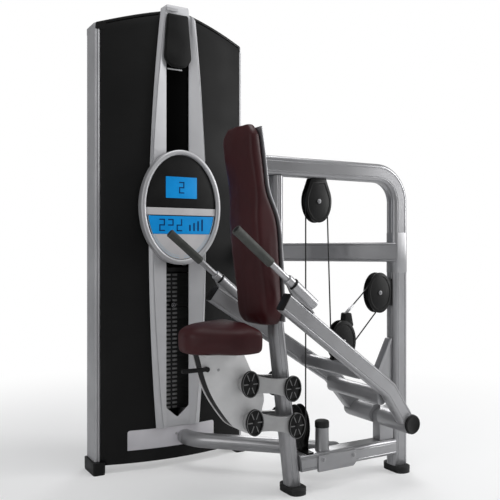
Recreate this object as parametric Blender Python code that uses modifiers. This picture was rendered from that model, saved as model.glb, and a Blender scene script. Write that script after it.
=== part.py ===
"""Seated arm press machine with a shrouded weight stack.

The user sits facing -X, leans on the back pad and pushes two long levers down beside the seat. The levers
turn about a low rear axle and haul a floating pulley block, whose cable lifts the weight stack in the tower
beside the seat.

All sizes are in metres. They are written in a layout frame whose X axis runs along the seat frame, from the
front foot at X 0 to the rear upright, and whose Y axis points at the tower. One empty then moves the whole
machine so that the world origin is the middle of its base.
"""
import math

import bmesh
import bpy
from mathutils import Matrix, Vector

GAP = 0.0003

# Overall box in the layout frame, which sets where the world origin lies
BOX_LEFT = -0.543
BOX_RIGHT = 0.4995
BOX_NEAR = -0.2549
BOX_FAR = 0.606

# Seat frame tubes
TUBE_HALF_Y = 0.026
UPRIGHT_X = 0.4655
UPRIGHT_HALF_X = 0.033
TOP_TUBE_Z = 1.1005
TOP_TUBE_FRONT_X = -0.156
MAIN_BEND = 0.105
FOOT_HEIGHT = 0.024
FOOT_HALF_X = 0.031
FOOT_HALF_Y = 0.053
COLUMN_DEPTH = 0.041
COLUMN_FOOT_DEPTH = 0.050
COLUMN_FRONT_KNEE_Z = 0.545
COLUMN_FOOT_REAR_X = 0.0215
COLUMN_KNEE_REAR_X = -0.050
COLUMN_KNEE_Z = 0.600
RAIL_BOTTOM_Z = 0.070
RAIL_TOP_Z = 0.125
RAIL_HALF_Y = 0.036
TIE_BAR_Z = 0.812
TIE_BAR_HALF_Z = 0.036
TIE_BAR_HALF = 0.020
STOP_X = 0.122
STOP_TOP_Z = 0.228
STOP_RADIUS = 0.024

# Press lever
PIVOT_X = 0.385
PIVOT_Z = 0.215
PIVOT_RADIUS = 0.034
AXLE_RADIUS = 0.012
HUB_END = 0.166
ARM_DEPTH = 0.058
ARM_WIDTH = 0.040
ARM_FRONT = (-0.190, 0.667)
ARM_KNEE = (0.283, 0.345)
ARM_FRONT_Y = 0.2335
ARM_REAR_Y = 0.142
UPPER_TUBE = (0.165, 0.414)
LOWER_TUBE = (0.272, 0.318)
GRIP_TIP = (-0.351, 0.879)
SOCKET_REAR = (-0.079, 0.653)
GRIP_LENGTH = 0.153
GRIP_RADIUS = 0.0145
ROD_RADIUS = 0.0100
SOCKET_LENGTH = 0.126
SOCKET_RADIUS = 0.0185

# Pulleys and cable
GROOVE_RADIUS = 0.0453
WHEEL_RADIUS = 0.0500
WHEEL_HALF_WIDTH = 0.008
BORE_RADIUS = 0.0085
CABLE_RADIUS = 0.0025
COVER_HALF_WIDTH = 0.0150
COVER_SHEET = 0.0040
COVER_HALF_X = 0.0540
COVER_HALF_Z = 0.0735
UPPER_PULLEY = (0.0985, 0.988)
REAR_PULLEY = (0.3725, 0.664)
FLOAT_PULLEY = (0.2065, 0.497)
FLOAT_HOOK = (0.2330, 0.6000)
TANG_RADIUS = 0.0100
TANG_PIN_RADIUS = 0.0050
LOWER_PULLEY_X = 0.053
LOWER_PULLEY_YZ = (0.0453, 0.207)
TOWER_PULLEY_X = 0.020
TOWER_PULLEY_YZ = (0.5500, 0.1917)
TOWER_GROOVE_RADIUS = 0.030
TOP_PULLEY_Z = 1.500
TOP_BEAM_Z = 1.454
TOP_PULLEY_XS = (-0.1925, -0.010)

# Seat linkage, a parallelogram of two links
LINK_COLUMN_UPPER = (-0.038, 0.363)
LINK_COLUMN_LOWER = (-0.022, 0.239)
LINK_SEAT_UPPER = (-0.200, 0.393)
LINK_SEAT_LOWER = (-0.184, 0.269)
LINK_INNER_Y = 0.0365
LINK_OUTER_Y = 0.0540
LINK_END_RADIUS = 0.0340
LINK_WAIST = 0.0260
CAP_HALF_X = 0.0315
CAP_HALF_Z = 0.0430
CAP_THICKNESS = 0.0080
PIN_RADIUS = 0.0090
PIN_BORE = 0.0096
FIN_INNER_Y = 0.0240
FIN_OUTER_Y = 0.0300

# Pads
SEAT_FRONT_X = -0.418
SEAT_REAR_X = -0.186
SEAT_HALF_Y = 0.136
SEAT_BOTTOM_Z = 0.497
SEAT_TOP_Z = 0.592
BACK_HALF_Y = 0.100
PLATE_THICKNESS = 0.006

# Tower
TOWER_LEFT = -0.529
TOWER_RIGHT = 0.0865
TOWER_FRONT = 0.511
TOWER_BACK = 0.604
TOWER_BULGE = 0.055
SPINE_X = -0.2225
CORNER_TOP = 1.652
ARC_TOP = 1.733
SPINE_TOP = 1.747
COLUMN_WIDTH = 0.028
SHEET = 0.004
KICK_TOP = 0.1515
BEAM_TOP = 0.0775
BEAM_BOTTOM = 0.029
KICK_LEFT = -0.414
KICK_RIGHT = -0.060
FOOT_CAP_TOP = 0.045
FOOT_CAP_PROUD = 0.010
FOOT_CAP_INNER = 0.036
FOOT_CAP_FRONT = 0.026
BEZEL_FRONT = 0.442
BEZEL_BACK = 0.458
LENS_HALF = 0.118
LENS_Z = 0.88
WINDOW_HALF = 0.047
WINDOW_BOTTOM = 0.185
WINDOW_TOP = 1.560
CONSOLE_Z = 0.980
CONSOLE_HALF_X = 0.163
CONSOLE_HALF_Z = 0.216
CONSOLE_FRONT = 0.409
STACK_Y = 0.550
STACK_HALF_X = 0.110
STACK_HALF_Y = 0.040
STACK_BASE_Z = 0.205
PLATE_PITCH = 0.0165
IDLE_PLATES = 24
SELECTED_PLATES = 8
GUIDE_X = 0.072
GUIDE_RADIUS = 0.009
STEM_RADIUS = 0.011


def clear_scene():
    for item in list(bpy.data.objects):
        bpy.data.objects.remove(item, do_unlink=True)


clear_scene()
MACHINE = bpy.data.collections.new("press_machine")
bpy.context.scene.collection.children.link(MACHINE)
BASE = bpy.data.objects.new("machine_origin", None)
BASE.location = (-(BOX_LEFT + BOX_RIGHT) / 2, -(BOX_NEAR + BOX_FAR) / 2, 0.0)
MACHINE.objects.link(BASE)


def finish(name, colour, roughness, metallic=0.0):
    """A Principled material; the colour is sRGB."""
    look = bpy.data.materials.new(name)
    look.use_nodes = True
    linear = [(c / 12.92 if c <= 0.04045 else ((c + 0.055) / 1.055) ** 2.4) for c in colour]
    shader = look.node_tree.nodes["Principled BSDF"]
    shader.inputs["Base Color"].default_value = (*linear, 1.0)
    shader.inputs["Roughness"].default_value = roughness
    shader.inputs["Metallic"].default_value = metallic
    look.diffuse_color = (*linear, 1.0)
    return look


SILVER = finish("silver_powder_coat", (0.62, 0.62, 0.63), 0.35, 0.6)
CAST = finish("cast_aluminium", (0.70, 0.70, 0.70), 0.45, 0.5)
CHROME = finish("chromed_steel", (0.80, 0.80, 0.82), 0.15, 1.0)
BLACK = finish("black_shroud", (0.13, 0.13, 0.13), 0.40)
PLASTIC = finish("black_plastic", (0.12, 0.12, 0.12), 0.45)
RUBBER = finish("black_rubber", (0.06, 0.06, 0.06), 0.80)
MAROON = finish("maroon_vinyl", (0.30, 0.17, 0.18), 0.50)
IRON = finish("black_iron", (0.20, 0.20, 0.20), 0.50, 0.4)
CABLE = finish("coated_cable", (0.08, 0.08, 0.08), 0.40)
SCREEN = finish("blue_display", (0.05, 0.50, 0.80), 0.20)
GRIP = finish("grip_rubber", (0.28, 0.29, 0.27), 0.70)


def evaluated(item):
    """A plain mesh of the object as it is seen, with doubles merged; the object itself is removed."""
    bpy.context.scene.collection.objects.link(item)
    bpy.context.view_layer.update()
    seen = item.evaluated_get(bpy.context.evaluated_depsgraph_get())
    mesh = bpy.data.meshes.new_from_object(seen)
    bpy.data.objects.remove(item, do_unlink=True)
    work = bmesh.new()
    work.from_mesh(mesh)
    bmesh.ops.remove_doubles(work, verts=work.verts, dist=1e-6)
    work.to_mesh(mesh)
    work.free()
    return mesh


def with_modifiers(mesh, *settings):
    """The mesh after modifiers, each given as its type and a dictionary of values."""
    item = bpy.data.objects.new("work", mesh)
    for kind, values in settings:
        modifier = item.modifiers.new(kind.title(), kind)
        for key, value in values.items():
            setattr(modifier, key, value)
    return evaluated(item)


def boolean(mesh, other, operation):
    tool = bpy.data.objects.new("tool", other)
    bpy.context.scene.collection.objects.link(tool)
    result = with_modifiers(mesh, ("BOOLEAN", {"object": tool, "operation": operation, "solver": "EXACT"}))
    bpy.data.objects.remove(tool, do_unlink=True)
    return result


def joined(mesh, *others):
    for other in others:
        mesh = boolean(mesh, other, "UNION")
    return mesh


def cut(mesh, *others):
    for other in others:
        mesh = boolean(mesh, other, "DIFFERENCE")
    return mesh


def bevelled(mesh, width, segments=1):
    return with_modifiers(mesh, ("BEVEL", {"width": width, "segments": segments, "limit_method": "ANGLE",
                                           "angle_limit": math.radians(30)}))


def block(low, high, bevel=0.0, segments=1):
    """A box between two corners."""
    low = Vector(low)
    high = Vector(high)
    mesh = bpy.data.meshes.new("block")
    work = bmesh.new()
    bmesh.ops.create_cube(work, size=1.0)
    bmesh.ops.scale(work, vec=high - low, verts=work.verts)
    bmesh.ops.translate(work, vec=(low + high) / 2, verts=work.verts)
    work.to_mesh(mesh)
    work.free()
    return bevelled(mesh, bevel, segments) if bevel else mesh


def along(axis):
    """The turn that lays local Z along an axis."""
    return Vector((0, 0, 1)).rotation_difference(Vector(axis)).to_matrix().to_4x4()


def drum(centre, axis, radius, length, sides=32, bevel=0.0):
    mesh = bpy.data.meshes.new("drum")
    work = bmesh.new()
    bmesh.ops.create_cone(work, cap_ends=True, segments=sides, radius1=radius, radius2=radius, depth=length)
    work.to_mesh(mesh)
    work.free()
    if bevel:
        mesh = bevelled(mesh, bevel)
    mesh.transform(Matrix.Translation(Vector(centre)) @ along(axis))
    return mesh


def turned(profile, centre, axis, steps=32):
    """A shape turned about an axis; the profile lists (radius, height) down its outer side."""
    mesh = bpy.data.meshes.new("profile")
    ring = profile[0][0] > 0
    edges = [(i, i + 1) for i in range(len(profile) - 1)] + ([(len(profile) - 1, 0)] if ring else [])
    mesh.from_pydata([(r, 0.0, h) for r, h in profile], edges, [])
    mesh = with_modifiers(mesh, ("SCREW", {"steps": steps, "render_steps": steps, "use_merge_vertices": True,
                                           "merge_threshold": 0.00001}))
    mesh.transform(Matrix.Translation(Vector(centre)) @ along(axis))
    return mesh


PLANES = {
    "XY": Matrix.Identity(4),
    "XZ": Matrix.Rotation(math.radians(90), 4, "X"),
    "YZ": Matrix(((0, 0, 1, 0), (1, 0, 0, 0), (0, 1, 0, 0), (0, 0, 0, 1))),
}


def plate(plane, outlines, low, high, bevel=0.0, segments=1):
    """A flat outline, with any holes after it, given thickness from low to high across its plane."""
    curve = bpy.data.curves.new("outline", "CURVE")
    curve.dimensions = "2D"
    curve.fill_mode = "BOTH"
    curve.extrude = (high - low) / 2
    for outline in outlines:
        spline = curve.splines.new("POLY")
        spline.points.add(len(outline) - 1)
        spline.use_cyclic_u = True
        for point, (u, v) in zip(spline.points, outline):
            point.co = (u, v, 0.0, 1.0)
    mesh = evaluated(bpy.data.objects.new("outline", curve))
    middle = (low + high) / 2
    shift = {"XY": (0, 0, middle), "XZ": (0, middle, 0), "YZ": (middle, 0, 0)}[plane]
    mesh.transform(Matrix.Translation(Vector(shift)) @ PLANES[plane])
    work = bmesh.new()
    work.from_mesh(mesh)
    bmesh.ops.recalc_face_normals(work, faces=work.faces)
    work.to_mesh(mesh)
    work.free()
    return bevelled(mesh, bevel, segments) if bevel else mesh


def ellipse(centre, half_u, half_v, count=40):
    step = 2 * math.pi / count
    return [(centre[0] + half_u * math.cos(i * step), centre[1] + half_v * math.sin(i * step))
            for i in range(count)]


def rounded(outline, radius, steps=4):
    """The outline with each corner turned into a short curve."""
    result = []
    count = len(outline)
    for i, corner in enumerate(outline):
        here = Vector(corner)
        before = Vector(outline[i - 1]) - here
        after = Vector(outline[(i + 1) % count]) - here
        reach = min(radius, before.length * 0.49, after.length * 0.49)
        start = here + before.normalized() * reach
        end = here + after.normalized() * reach
        for k in range(steps + 1):
            t = k / steps
            result.append(tuple(start * (1 - t) ** 2 + here * 2 * t * (1 - t) + end * t ** 2))
    return result


def sheet(points, thickness):
    """A shell over a grid of points, given as rows of equal length; it thickens behind the faces."""
    rows = len(points)
    columns = len(points[0])
    mesh = bpy.data.meshes.new("sheet")
    faces = [(r * columns + c, r * columns + c + 1, (r + 1) * columns + c + 1, (r + 1) * columns + c)
             for r in range(rows - 1) for c in range(columns - 1)]
    mesh.from_pydata([p for row in points for p in row], [], faces)
    return with_modifiers(mesh, ("SOLIDIFY", {"thickness": thickness, "offset": -1.0}))


def loft(rings, top=None, bottom=None):
    """A closed skin through rings of equal count, from low to high, with a centre point at each end."""
    count = len(rings[0])
    verts = [p for ring in rings for p in ring]
    faces = [(r * count + i, r * count + (i + 1) % count, (r + 1) * count + (i + 1) % count,
              (r + 1) * count + i)
             for r in range(len(rings) - 1) for i in range(count)]
    low = len(verts)
    verts += [bottom, top]
    last = (len(rings) - 1) * count
    faces += [((i + 1) % count, i, low) for i in range(count)]
    faces += [(last + i, last + (i + 1) % count, low + 1) for i in range(count)]
    mesh = bpy.data.meshes.new("loft")
    mesh.from_pydata(verts, [], faces)
    work = bmesh.new()
    work.from_mesh(mesh)
    bmesh.ops.recalc_face_normals(work, faces=work.faces)
    work.to_mesh(mesh)
    work.free()
    return mesh


def swept(points, half_u, half_v, corner, up=(0, 1, 0)):
    """A rounded rectangular tube along a line; half_u is across the line's own plane and half_v along up."""
    section = rounded([(-half_u, -half_v), (half_u, -half_v), (half_u, half_v), (-half_u, half_v)], corner,
                      3)
    up = Vector(up)
    line = [Vector(p) for p in points]
    rings = []
    for i, point in enumerate(line):
        before = (point - line[i - 1]).normalized() if i else None
        after = (line[i + 1] - point).normalized() if i < len(line) - 1 else None
        forward = ((before or after) + (after or before)).normalized()
        side = forward.cross(up).normalized()
        stretch = 1.0 / max(0.2, forward.dot(after or before))
        rings.append([tuple(point + side * u * stretch + up * v) for u, v in section])
    return loft(rings, tuple(line[-1]), tuple(line[0]))


def arc(centre, radius, start, end, count):
    """Points on an arc, angles in degrees."""
    return [(centre[0] + radius * math.cos(math.radians(start + (end - start) * i / count)),
             centre[1] + radius * math.sin(math.radians(start + (end - start) * i / count)))
            for i in range(count + 1)]


def axis_empty(name, point, carrier=BASE, carrier_point=(0, 0, 0)):
    """An empty on a joint's axis; what moves with the joint hangs on it."""
    empty = bpy.data.objects.new(name, None)
    empty.parent = carrier
    empty.location = Vector(point) - Vector(carrier_point)
    MACHINE.objects.link(empty)
    return empty, Vector(point)


def add(name, mesh, look, joint=None):
    """One sub-part; a moving one has its origin on its joint's axis."""
    carrier, point = joint or (BASE, Vector((0, 0, 0)))
    mesh.transform(Matrix.Translation(-point))
    mesh.name = name
    mesh.materials.clear()
    mesh.materials.append(look)
    mesh.shade_smooth()
    mesh.set_sharp_from_angle(angle=math.radians(35))
    item = bpy.data.objects.new(name, mesh)
    item.parent = carrier
    MACHINE.objects.link(item)
    return item


# Joint axes
LEVER = axis_empty("lever_axis", (PIVOT_X, 0, PIVOT_Z))
FLOAT = axis_empty("block_axis", (UPPER_TUBE[0], 0, UPPER_TUBE[1]), LEVER[0], LEVER[1])
FLOAT_WHEEL = axis_empty("float_wheel_axis", (FLOAT_PULLEY[0], 0, FLOAT_PULLEY[1]), FLOAT[0], FLOAT[1])
STACK = axis_empty("stack_axis", (SPINE_X, STACK_Y, STACK_BASE_Z))
PIN = axis_empty("selector_axis", (SPINE_X, STACK_Y, STACK_BASE_Z), STACK[0], STACK[1])
UPPER_LINK = axis_empty("upper_link_axis", (LINK_COLUMN_UPPER[0], 0, LINK_COLUMN_UPPER[1]))
LOWER_LINK = axis_empty("lower_link_axis", (LINK_COLUMN_LOWER[0], 0, LINK_COLUMN_LOWER[1]))
SEAT = axis_empty("seat_axis", (LINK_SEAT_UPPER[0], 0, LINK_SEAT_UPPER[1]), UPPER_LINK[0], UPPER_LINK[1])
RELEASE_PIVOT = (-0.344, -0.0365, 0.450)
RELEASE = axis_empty("release_axis", RELEASE_PIVOT, SEAT[0], SEAT[1])


# Tower

def front_y(x):
    """The gently convex front of the tower, seen in plan."""
    reach = (TOWER_RIGHT - TOWER_LEFT) / 2
    t = min(1.0, abs(x - SPINE_X) / reach)
    return TOWER_FRONT - TOWER_BULGE * (1 - t * t)


def top_z(x):
    """The tower's top edge: a shallow gable that falls nearly straight to both corners."""
    reach = (TOWER_RIGHT - TOWER_LEFT) / 2
    t = min(1.0, abs(x - SPINE_X) / reach)
    return CORNER_TOP + (ARC_TOP - CORNER_TOP) * (1 - t ** 1.15)


def lens_half(z):
    """Half width of the silver spine at a height."""
    fall = 0.0668 if z > LENS_Z else 0.0557
    return LENS_HALF - fall * (z - LENS_Z) ** 2


def tower_columns():
    """Extruded end posts with a rounded outer front corner."""
    for name, outer, inner in (("tower_left_column", TOWER_LEFT, TOWER_LEFT + COLUMN_WIDTH),
                               ("tower_right_column", TOWER_RIGHT, TOWER_RIGHT - COLUMN_WIDTH)):
        corner = rounded([(outer, TOWER_FRONT - 0.004), (inner, TOWER_FRONT - 0.006),
                          (inner, TOWER_BACK - 0.001),
                          (outer, TOWER_BACK - 0.001)], 0.009, 3)
        add(name, plate("XY", [corner], FOOT_CAP_TOP + GAP, 1.628), SILVER)


def tower_foot(x, side):
    """Foot cap under an end post."""
    ends = sorted((x + side * FOOT_CAP_PROUD, x - side * FOOT_CAP_INNER))
    return block((ends[0], TOWER_FRONT - FOOT_CAP_FRONT, 0.0), (ends[1], TOWER_BACK + 0.002, FOOT_CAP_TOP), 0.012)


def panel_grid(x_outer, side, z_low, rows=10, columns=6):
    """Rows of points from the bottom up, across from the end post to the spine."""
    grid = []
    for r in range(rows + 1):
        row = []
        for c in range(columns + 1):
            share = c / columns
            z_guess = z_low + (CORNER_TOP - z_low) * r / rows
            x_inner = SPINE_X + side * (lens_half(z_guess) - 0.012)
            x = x_outer + (x_inner - x_outer) * share
            z = z_low + (top_z(x) - 0.015 - z_low) * r / rows
            row.append((x, front_y(x), z))
        grid.append(row if side < 0 else row[::-1])
    return grid


def tower_panels():
    """Two thin black front sheets, notched for the kick plate and the foot caps, the right one with a hole
    for the cable."""
    over_feet = FOOT_CAP_TOP + GAP
    left_foot = block((TOWER_LEFT, 0.3, 0.0), (TOWER_LEFT + FOOT_CAP_INNER + GAP, 0.7, over_feet))
    right_foot = block((TOWER_RIGHT - FOOT_CAP_INNER - GAP, 0.3, 0.0), (TOWER_RIGHT, 0.7, over_feet))
    notch = block((KICK_LEFT, 0.3, 0.0), (KICK_RIGHT, 0.7, KICK_TOP))
    left = sheet(panel_grid(TOWER_LEFT + COLUMN_WIDTH + GAP, -1, 0.031), SHEET)
    add("tower_left_panel", cut(left, notch, left_foot), BLACK)
    right = sheet(panel_grid(TOWER_RIGHT - COLUMN_WIDTH - GAP, 1, 0.031), SHEET)
    hole = drum((TOWER_PULLEY_X, 0.5, 0.1617), (0, 1, 0), 0.009, 0.2, 20)
    notch = block((KICK_LEFT, 0.3, 0.0), (KICK_RIGHT, 0.7, KICK_TOP))
    add("tower_right_panel", cut(right, notch, hole, right_foot), BLACK)
    low = TOWER_LEFT + COLUMN_WIDTH + GAP
    high = TOWER_RIGHT - COLUMN_WIDTH - GAP
    arch = [(high + (low - high) * i / 12, top_z(high + (low - high) * i / 12) - 0.021) for i in range(13)]
    outline = [(low, BEAM_TOP + 0.0015), (high, BEAM_TOP + 0.0015)] + arch
    add("tower_back_panel", plate("XZ", [outline], TOWER_BACK - 0.008, TOWER_BACK - 0.004), BLACK)


def curved_bar(x_low, x_high, z_low, z_high, depth, setback, count=12):
    """A bar that follows the tower's front."""
    outline = []
    for i in range(count + 1):
        x = x_low + (x_high - x_low) * i / count
        outline.append((x, front_y(x) + setback))
    back = [(x, y + depth) for x, y in reversed(outline)]
    return plate("XY", [outline + back], z_low, z_high)


def tower_base():
    """Silver kick plate over the black base beam, which is one moulding with its two foot caps."""
    add("kick_plate", curved_bar(KICK_LEFT + GAP, KICK_RIGHT - GAP, BEAM_TOP + GAP, KICK_TOP - GAP, 0.003, 0.0),
        SILVER)
    low = TOWER_LEFT + COLUMN_WIDTH + GAP
    high = TOWER_RIGHT - COLUMN_WIDTH - GAP
    beam = curved_bar(low, high, BEAM_BOTTOM, BEAM_TOP, 0.045, 0.0065)
    add("tower_base", joined(beam, tower_foot(TOWER_LEFT, -1), tower_foot(TOWER_RIGHT, 1)), PLASTIC)


def tower_top():
    """Black top cap that follows the arc, with a boss over each end post."""
    outline = []
    x_low = TOWER_LEFT + 0.001
    x_high = TOWER_RIGHT - 0.001
    count = 16
    for i in range(count + 1):
        x = x_low + (x_high - x_low) * i / count
        outline.append((x, top_z(x)))
    under = [(x, z - 0.011) for x, z in reversed(outline)]
    under = [(x, z - 0.009) if x < TOWER_LEFT + 0.030 or x > TOWER_RIGHT - 0.030 else (x, z) for x, z in under]
    cap = plate("XZ", [outline + under], TOWER_FRONT - 0.06, TOWER_BACK)
    rim = [(x_high, TOWER_BACK + 0.01), (x_high, front_y(x_high))]
    rim += [(x_low + (x_high - x_low) * i / count, front_y(x_low + (x_high - x_low) * i / count) - 0.001)
            for i in range(count, -1, -1)]
    rim += [(x_low, TOWER_BACK + 0.01)]
    cap = boolean(cap, plate("XY", [rim], 1.4, 1.9), "INTERSECT")
    notch = block((SPINE_X - 0.082, 0.3, 1.5), (SPINE_X + 0.082, BEZEL_BACK + GAP, 1.9))
    add("tower_top_cap", cut(cap, notch), PLASTIC)


def lens_outline(z_low, z_high, inset, count=8):
    """The spine's outline, wide at the console and narrow at both ends."""
    zs = [z_low + (z_high - z_low) * i / count for i in range(count + 1)]
    right = [(SPINE_X + lens_half(z) - inset, z) for z in zs]
    left = [(SPINE_X - lens_half(z) + inset, z) for z in reversed(zs)]
    return right + left


def spine():
    """Silver spine with its long slot, a smoked upper window, and a black cover plate near the top."""
    slot = [(SPINE_X - WINDOW_HALF, WINDOW_BOTTOM + 0.040), (SPINE_X, WINDOW_BOTTOM),
            (SPINE_X + WINDOW_HALF, WINDOW_BOTTOM + 0.040), (SPINE_X + WINDOW_HALF, WINDOW_TOP),
            (SPINE_X - WINDOW_HALF, WINDOW_TOP)]
    outer = lens_outline(KICK_TOP + 0.001, SPINE_TOP, 0.0)
    add("spine_bezel", plate("XZ", [outer, slot], BEZEL_FRONT, BEZEL_BACK, 0.003), SILVER)
    cover = rounded([(SPINE_X - 0.054, 1.700), (SPINE_X + 0.054, 1.700), (SPINE_X + 0.054, 1.575),
                     (SPINE_X, 1.515), (SPINE_X - 0.054, 1.575)], 0.030, 4)
    add("spine_cover", plate("XZ", [cover], BEZEL_FRONT - 0.010, BEZEL_FRONT - GAP, 0.002), PLASTIC)
    half = WINDOW_HALF + 0.006
    window = [(SPINE_X - half, 0.770), (SPINE_X + half, 0.770), (SPINE_X + half, WINDOW_TOP + 0.010),
              (SPINE_X - half, WINDOW_TOP + 0.010)]
    add("spine_window", plate("XZ", [window], BEZEL_BACK + GAP, BEZEL_BACK + 0.003), BLACK)


def console():
    """Oval display unit: a black housing, a silver ring round it and a display panel."""
    centre = (SPINE_X, CONSOLE_Z)
    housing = plate("XZ", [ellipse(centre, CONSOLE_HALF_X - 0.016, CONSOLE_HALF_Z - 0.016, 28)],
                    CONSOLE_FRONT + 0.010, BEZEL_FRONT - GAP - 0.002)
    outer = ellipse(centre, CONSOLE_HALF_X, CONSOLE_HALF_Z, 28)
    inner = ellipse(centre, CONSOLE_HALF_X - 0.020, CONSOLE_HALF_Z - 0.020, 28)
    ring = plate("XZ", [outer, inner], CONSOLE_FRONT, BEZEL_FRONT - GAP, 0.005)
    add("console_housing", joined(ring, housing), BLACK)
    panel = rounded([(-0.105, -0.105), (0.105, -0.105), (0.090, 0.125), (-0.090, 0.125)], 0.02)
    panel = [(SPINE_X + u, CONSOLE_Z + v) for u, v in panel]
    add("display_panel", plate("XZ", [panel], CONSOLE_FRONT + 0.006, CONSOLE_FRONT + 0.010 - GAP), SCREEN)


def pulley_mounts():
    """Brackets with axles on the top beam for its two wheels, and a stand with an axle for the low one."""
    pieces = []
    for x in TOP_PULLEY_XS:
        pieces.append(block((x - 0.014, STACK_Y + 0.012, TOP_BEAM_Z - 0.002),
                            (x + 0.014, STACK_Y + 0.020, TOP_PULLEY_Z + 0.020)))
        pieces.append(drum((x, STACK_Y + 0.004, TOP_PULLEY_Z), (0, 1, 0), BORE_RADIUS - GAP, 0.028, 16))
    y, z = TOWER_PULLEY_YZ
    pieces.append(block((TOWER_PULLEY_X - 0.018, y - 0.018, 0.110),
                        (TOWER_PULLEY_X - 0.011, y + 0.018, z + 0.014)))
    pieces.append(drum((TOWER_PULLEY_X - 0.003, y, z), (1, 0, 0), BORE_RADIUS - GAP, 0.026, 16))
    return pieces


def stack_frame():
    """Bottom tray with stack blocks, two guide rods, a bored top beam, and the pulley mounts."""
    low = TOWER_LEFT + COLUMN_WIDTH + GAP
    high = TOWER_RIGHT - COLUMN_WIDTH - GAP
    tray = block((low, STACK_Y - 0.028, 0.090), (-0.100, STACK_Y + 0.028, 0.115))
    tail = block((-0.110, STACK_Y - 0.028, 0.090), (high, STACK_Y + 0.028, 0.115))
    beam = block((low, STACK_Y - 0.022, TOP_BEAM_Z - 0.024), (high, STACK_Y + 0.022, TOP_BEAM_Z))
    pieces = [tail, beam]
    rod_low = 0.100
    rod_high = TOP_BEAM_Z - 0.006
    for side in (-1, 1):
        x = SPINE_X + side * GUIDE_X
        pieces.append(drum((x, STACK_Y, (rod_low + rod_high) / 2), (0, 0, 1), GUIDE_RADIUS,
                           rod_high - rod_low, 12))
        pieces.append(drum((x, STACK_Y, (rod_low + STACK_BASE_Z - GAP) / 2), (0, 0, 1), 0.024,
                           STACK_BASE_Z - GAP - rod_low, 16))
    bores = [drum((x, STACK_Y, TOP_BEAM_Z - 0.012), (0, 0, 1), CABLE_RADIUS + 0.0025, 0.05, 12)
             for x in (SPINE_X, TOWER_PULLEY_X)]
    add("stack_frame", cut(joined(tray, *pieces, *pulley_mounts()), *bores), CHROME)


def plate_block(z_low, count):
    """A pile of like plates: a grooved front and back, bored for the guide rods and the stem."""
    front = STACK_Y - STACK_HALF_Y
    back = STACK_Y + STACK_HALF_Y
    groove = 0.0025
    outline = []
    for i in range(count):
        z = z_low + i * PLATE_PITCH
        outline += [(front, z), (front, z + PLATE_PITCH - groove)]
        if i < count - 1:
            outline += [(front + groove, z + PLATE_PITCH - groove), (front + groove, z + PLATE_PITCH)]
    top = z_low + count * PLATE_PITCH - groove
    outline += [(back, top), (back, z_low)]
    mesh = plate("YZ", [outline], SPINE_X - STACK_HALF_X, SPINE_X + STACK_HALF_X)
    middle = (z_low + top) / 2
    height = top - z_low + 0.02
    bores = [drum((SPINE_X + side * GUIDE_X, STACK_Y, middle), (0, 0, 1), GUIDE_RADIUS + 0.0015, height, 12)
             for side in (-1, 1)]
    bores.append(drum((SPINE_X, STACK_Y, middle), (0, 0, 1), STEM_RADIUS + 0.0015, height, 12))
    return cut(mesh, *bores)


def weight_stack():
    """Plates left behind, plates picked up, the head with its stem, and the selector pin."""
    idle_top = STACK_BASE_Z + IDLE_PLATES * PLATE_PITCH
    selected_top = idle_top + SELECTED_PLATES * PLATE_PITCH
    pin_z = idle_top + PLATE_PITCH * 0.42
    add("idle_plates", plate_block(STACK_BASE_Z, IDLE_PLATES), IRON)
    hole = drum((SPINE_X, STACK_Y - 0.04, pin_z), (0, 1, 0), 0.0050, 0.10, 16)
    add("selected_plates", cut(plate_block(idle_top, SELECTED_PLATES), hole), IRON, STACK)
    head = block((SPINE_X - STACK_HALF_X, STACK_Y - STACK_HALF_Y, selected_top),
                 (SPINE_X + STACK_HALF_X, STACK_Y + STACK_HALF_Y, selected_top + 0.022), 0.003, 1)
    sleeves = [drum((SPINE_X + side * GUIDE_X, STACK_Y, selected_top + 0.011), (0, 0, 1),
                    GUIDE_RADIUS + 0.0015,
                    0.06, 12) for side in (-1, 1)]
    head = cut(head, *sleeves)
    stem_low = STACK_BASE_Z + 0.004
    stem_high = selected_top + 0.050
    stem = drum((SPINE_X, STACK_Y, (stem_low + stem_high) / 2), (0, 0, 1), STEM_RADIUS, stem_high - stem_low,
                12)
    eye = drum((SPINE_X, STACK_Y - 0.04, pin_z), (0, 1, 0), 0.0050, 0.12, 16)
    add("stack_head", cut(joined(head, stem), eye), IRON, STACK)
    tip = STACK_Y + 0.008
    knob_back = STACK_Y - STACK_HALF_Y - 0.005
    profile = [(0.0, tip), (0.0035, tip - 0.001), (0.0035, knob_back), (0.0110, knob_back),
               (0.0130, knob_back - 0.003), (0.0130, knob_back - 0.012), (0.0100, knob_back - 0.015),
               (0.0, knob_back - 0.015)]
    add("selector_pin", turned(profile, (SPINE_X, 0, pin_z), (0, 1, 0), 24), PLASTIC, PIN)
    return stem_high


# Seat frame

def main_frame_tube():
    """One bent tube, top rail and rear upright, with a sloping gusset welded above the lever's bracket."""
    bend = arc((UPRIGHT_X - MAIN_BEND, TOP_TUBE_Z - MAIN_BEND), MAIN_BEND, 90, 0, 8)
    line = [(TOP_TUBE_FRONT_X, 0, TOP_TUBE_Z)]
    line += [(x, 0, z) for x, z in bend] + [(UPRIGHT_X, 0, FOOT_HEIGHT + GAP)]
    tube = swept(line, UPRIGHT_HALF_X, TUBE_HALF_Y, 0.016)
    face = UPRIGHT_X - UPRIGHT_HALF_X
    outline = [(face + 0.003, 0.300), (face + 0.003, 0.495), (face - 0.012, 0.495), (face - 0.075, 0.375),
               (face - 0.060, 0.355), (face - 0.012, 0.300)]
    gusset = plate("XZ", [outline], -0.012, 0.012)
    add("main_frame_tube", joined(tube, gusset), SILVER)


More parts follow.
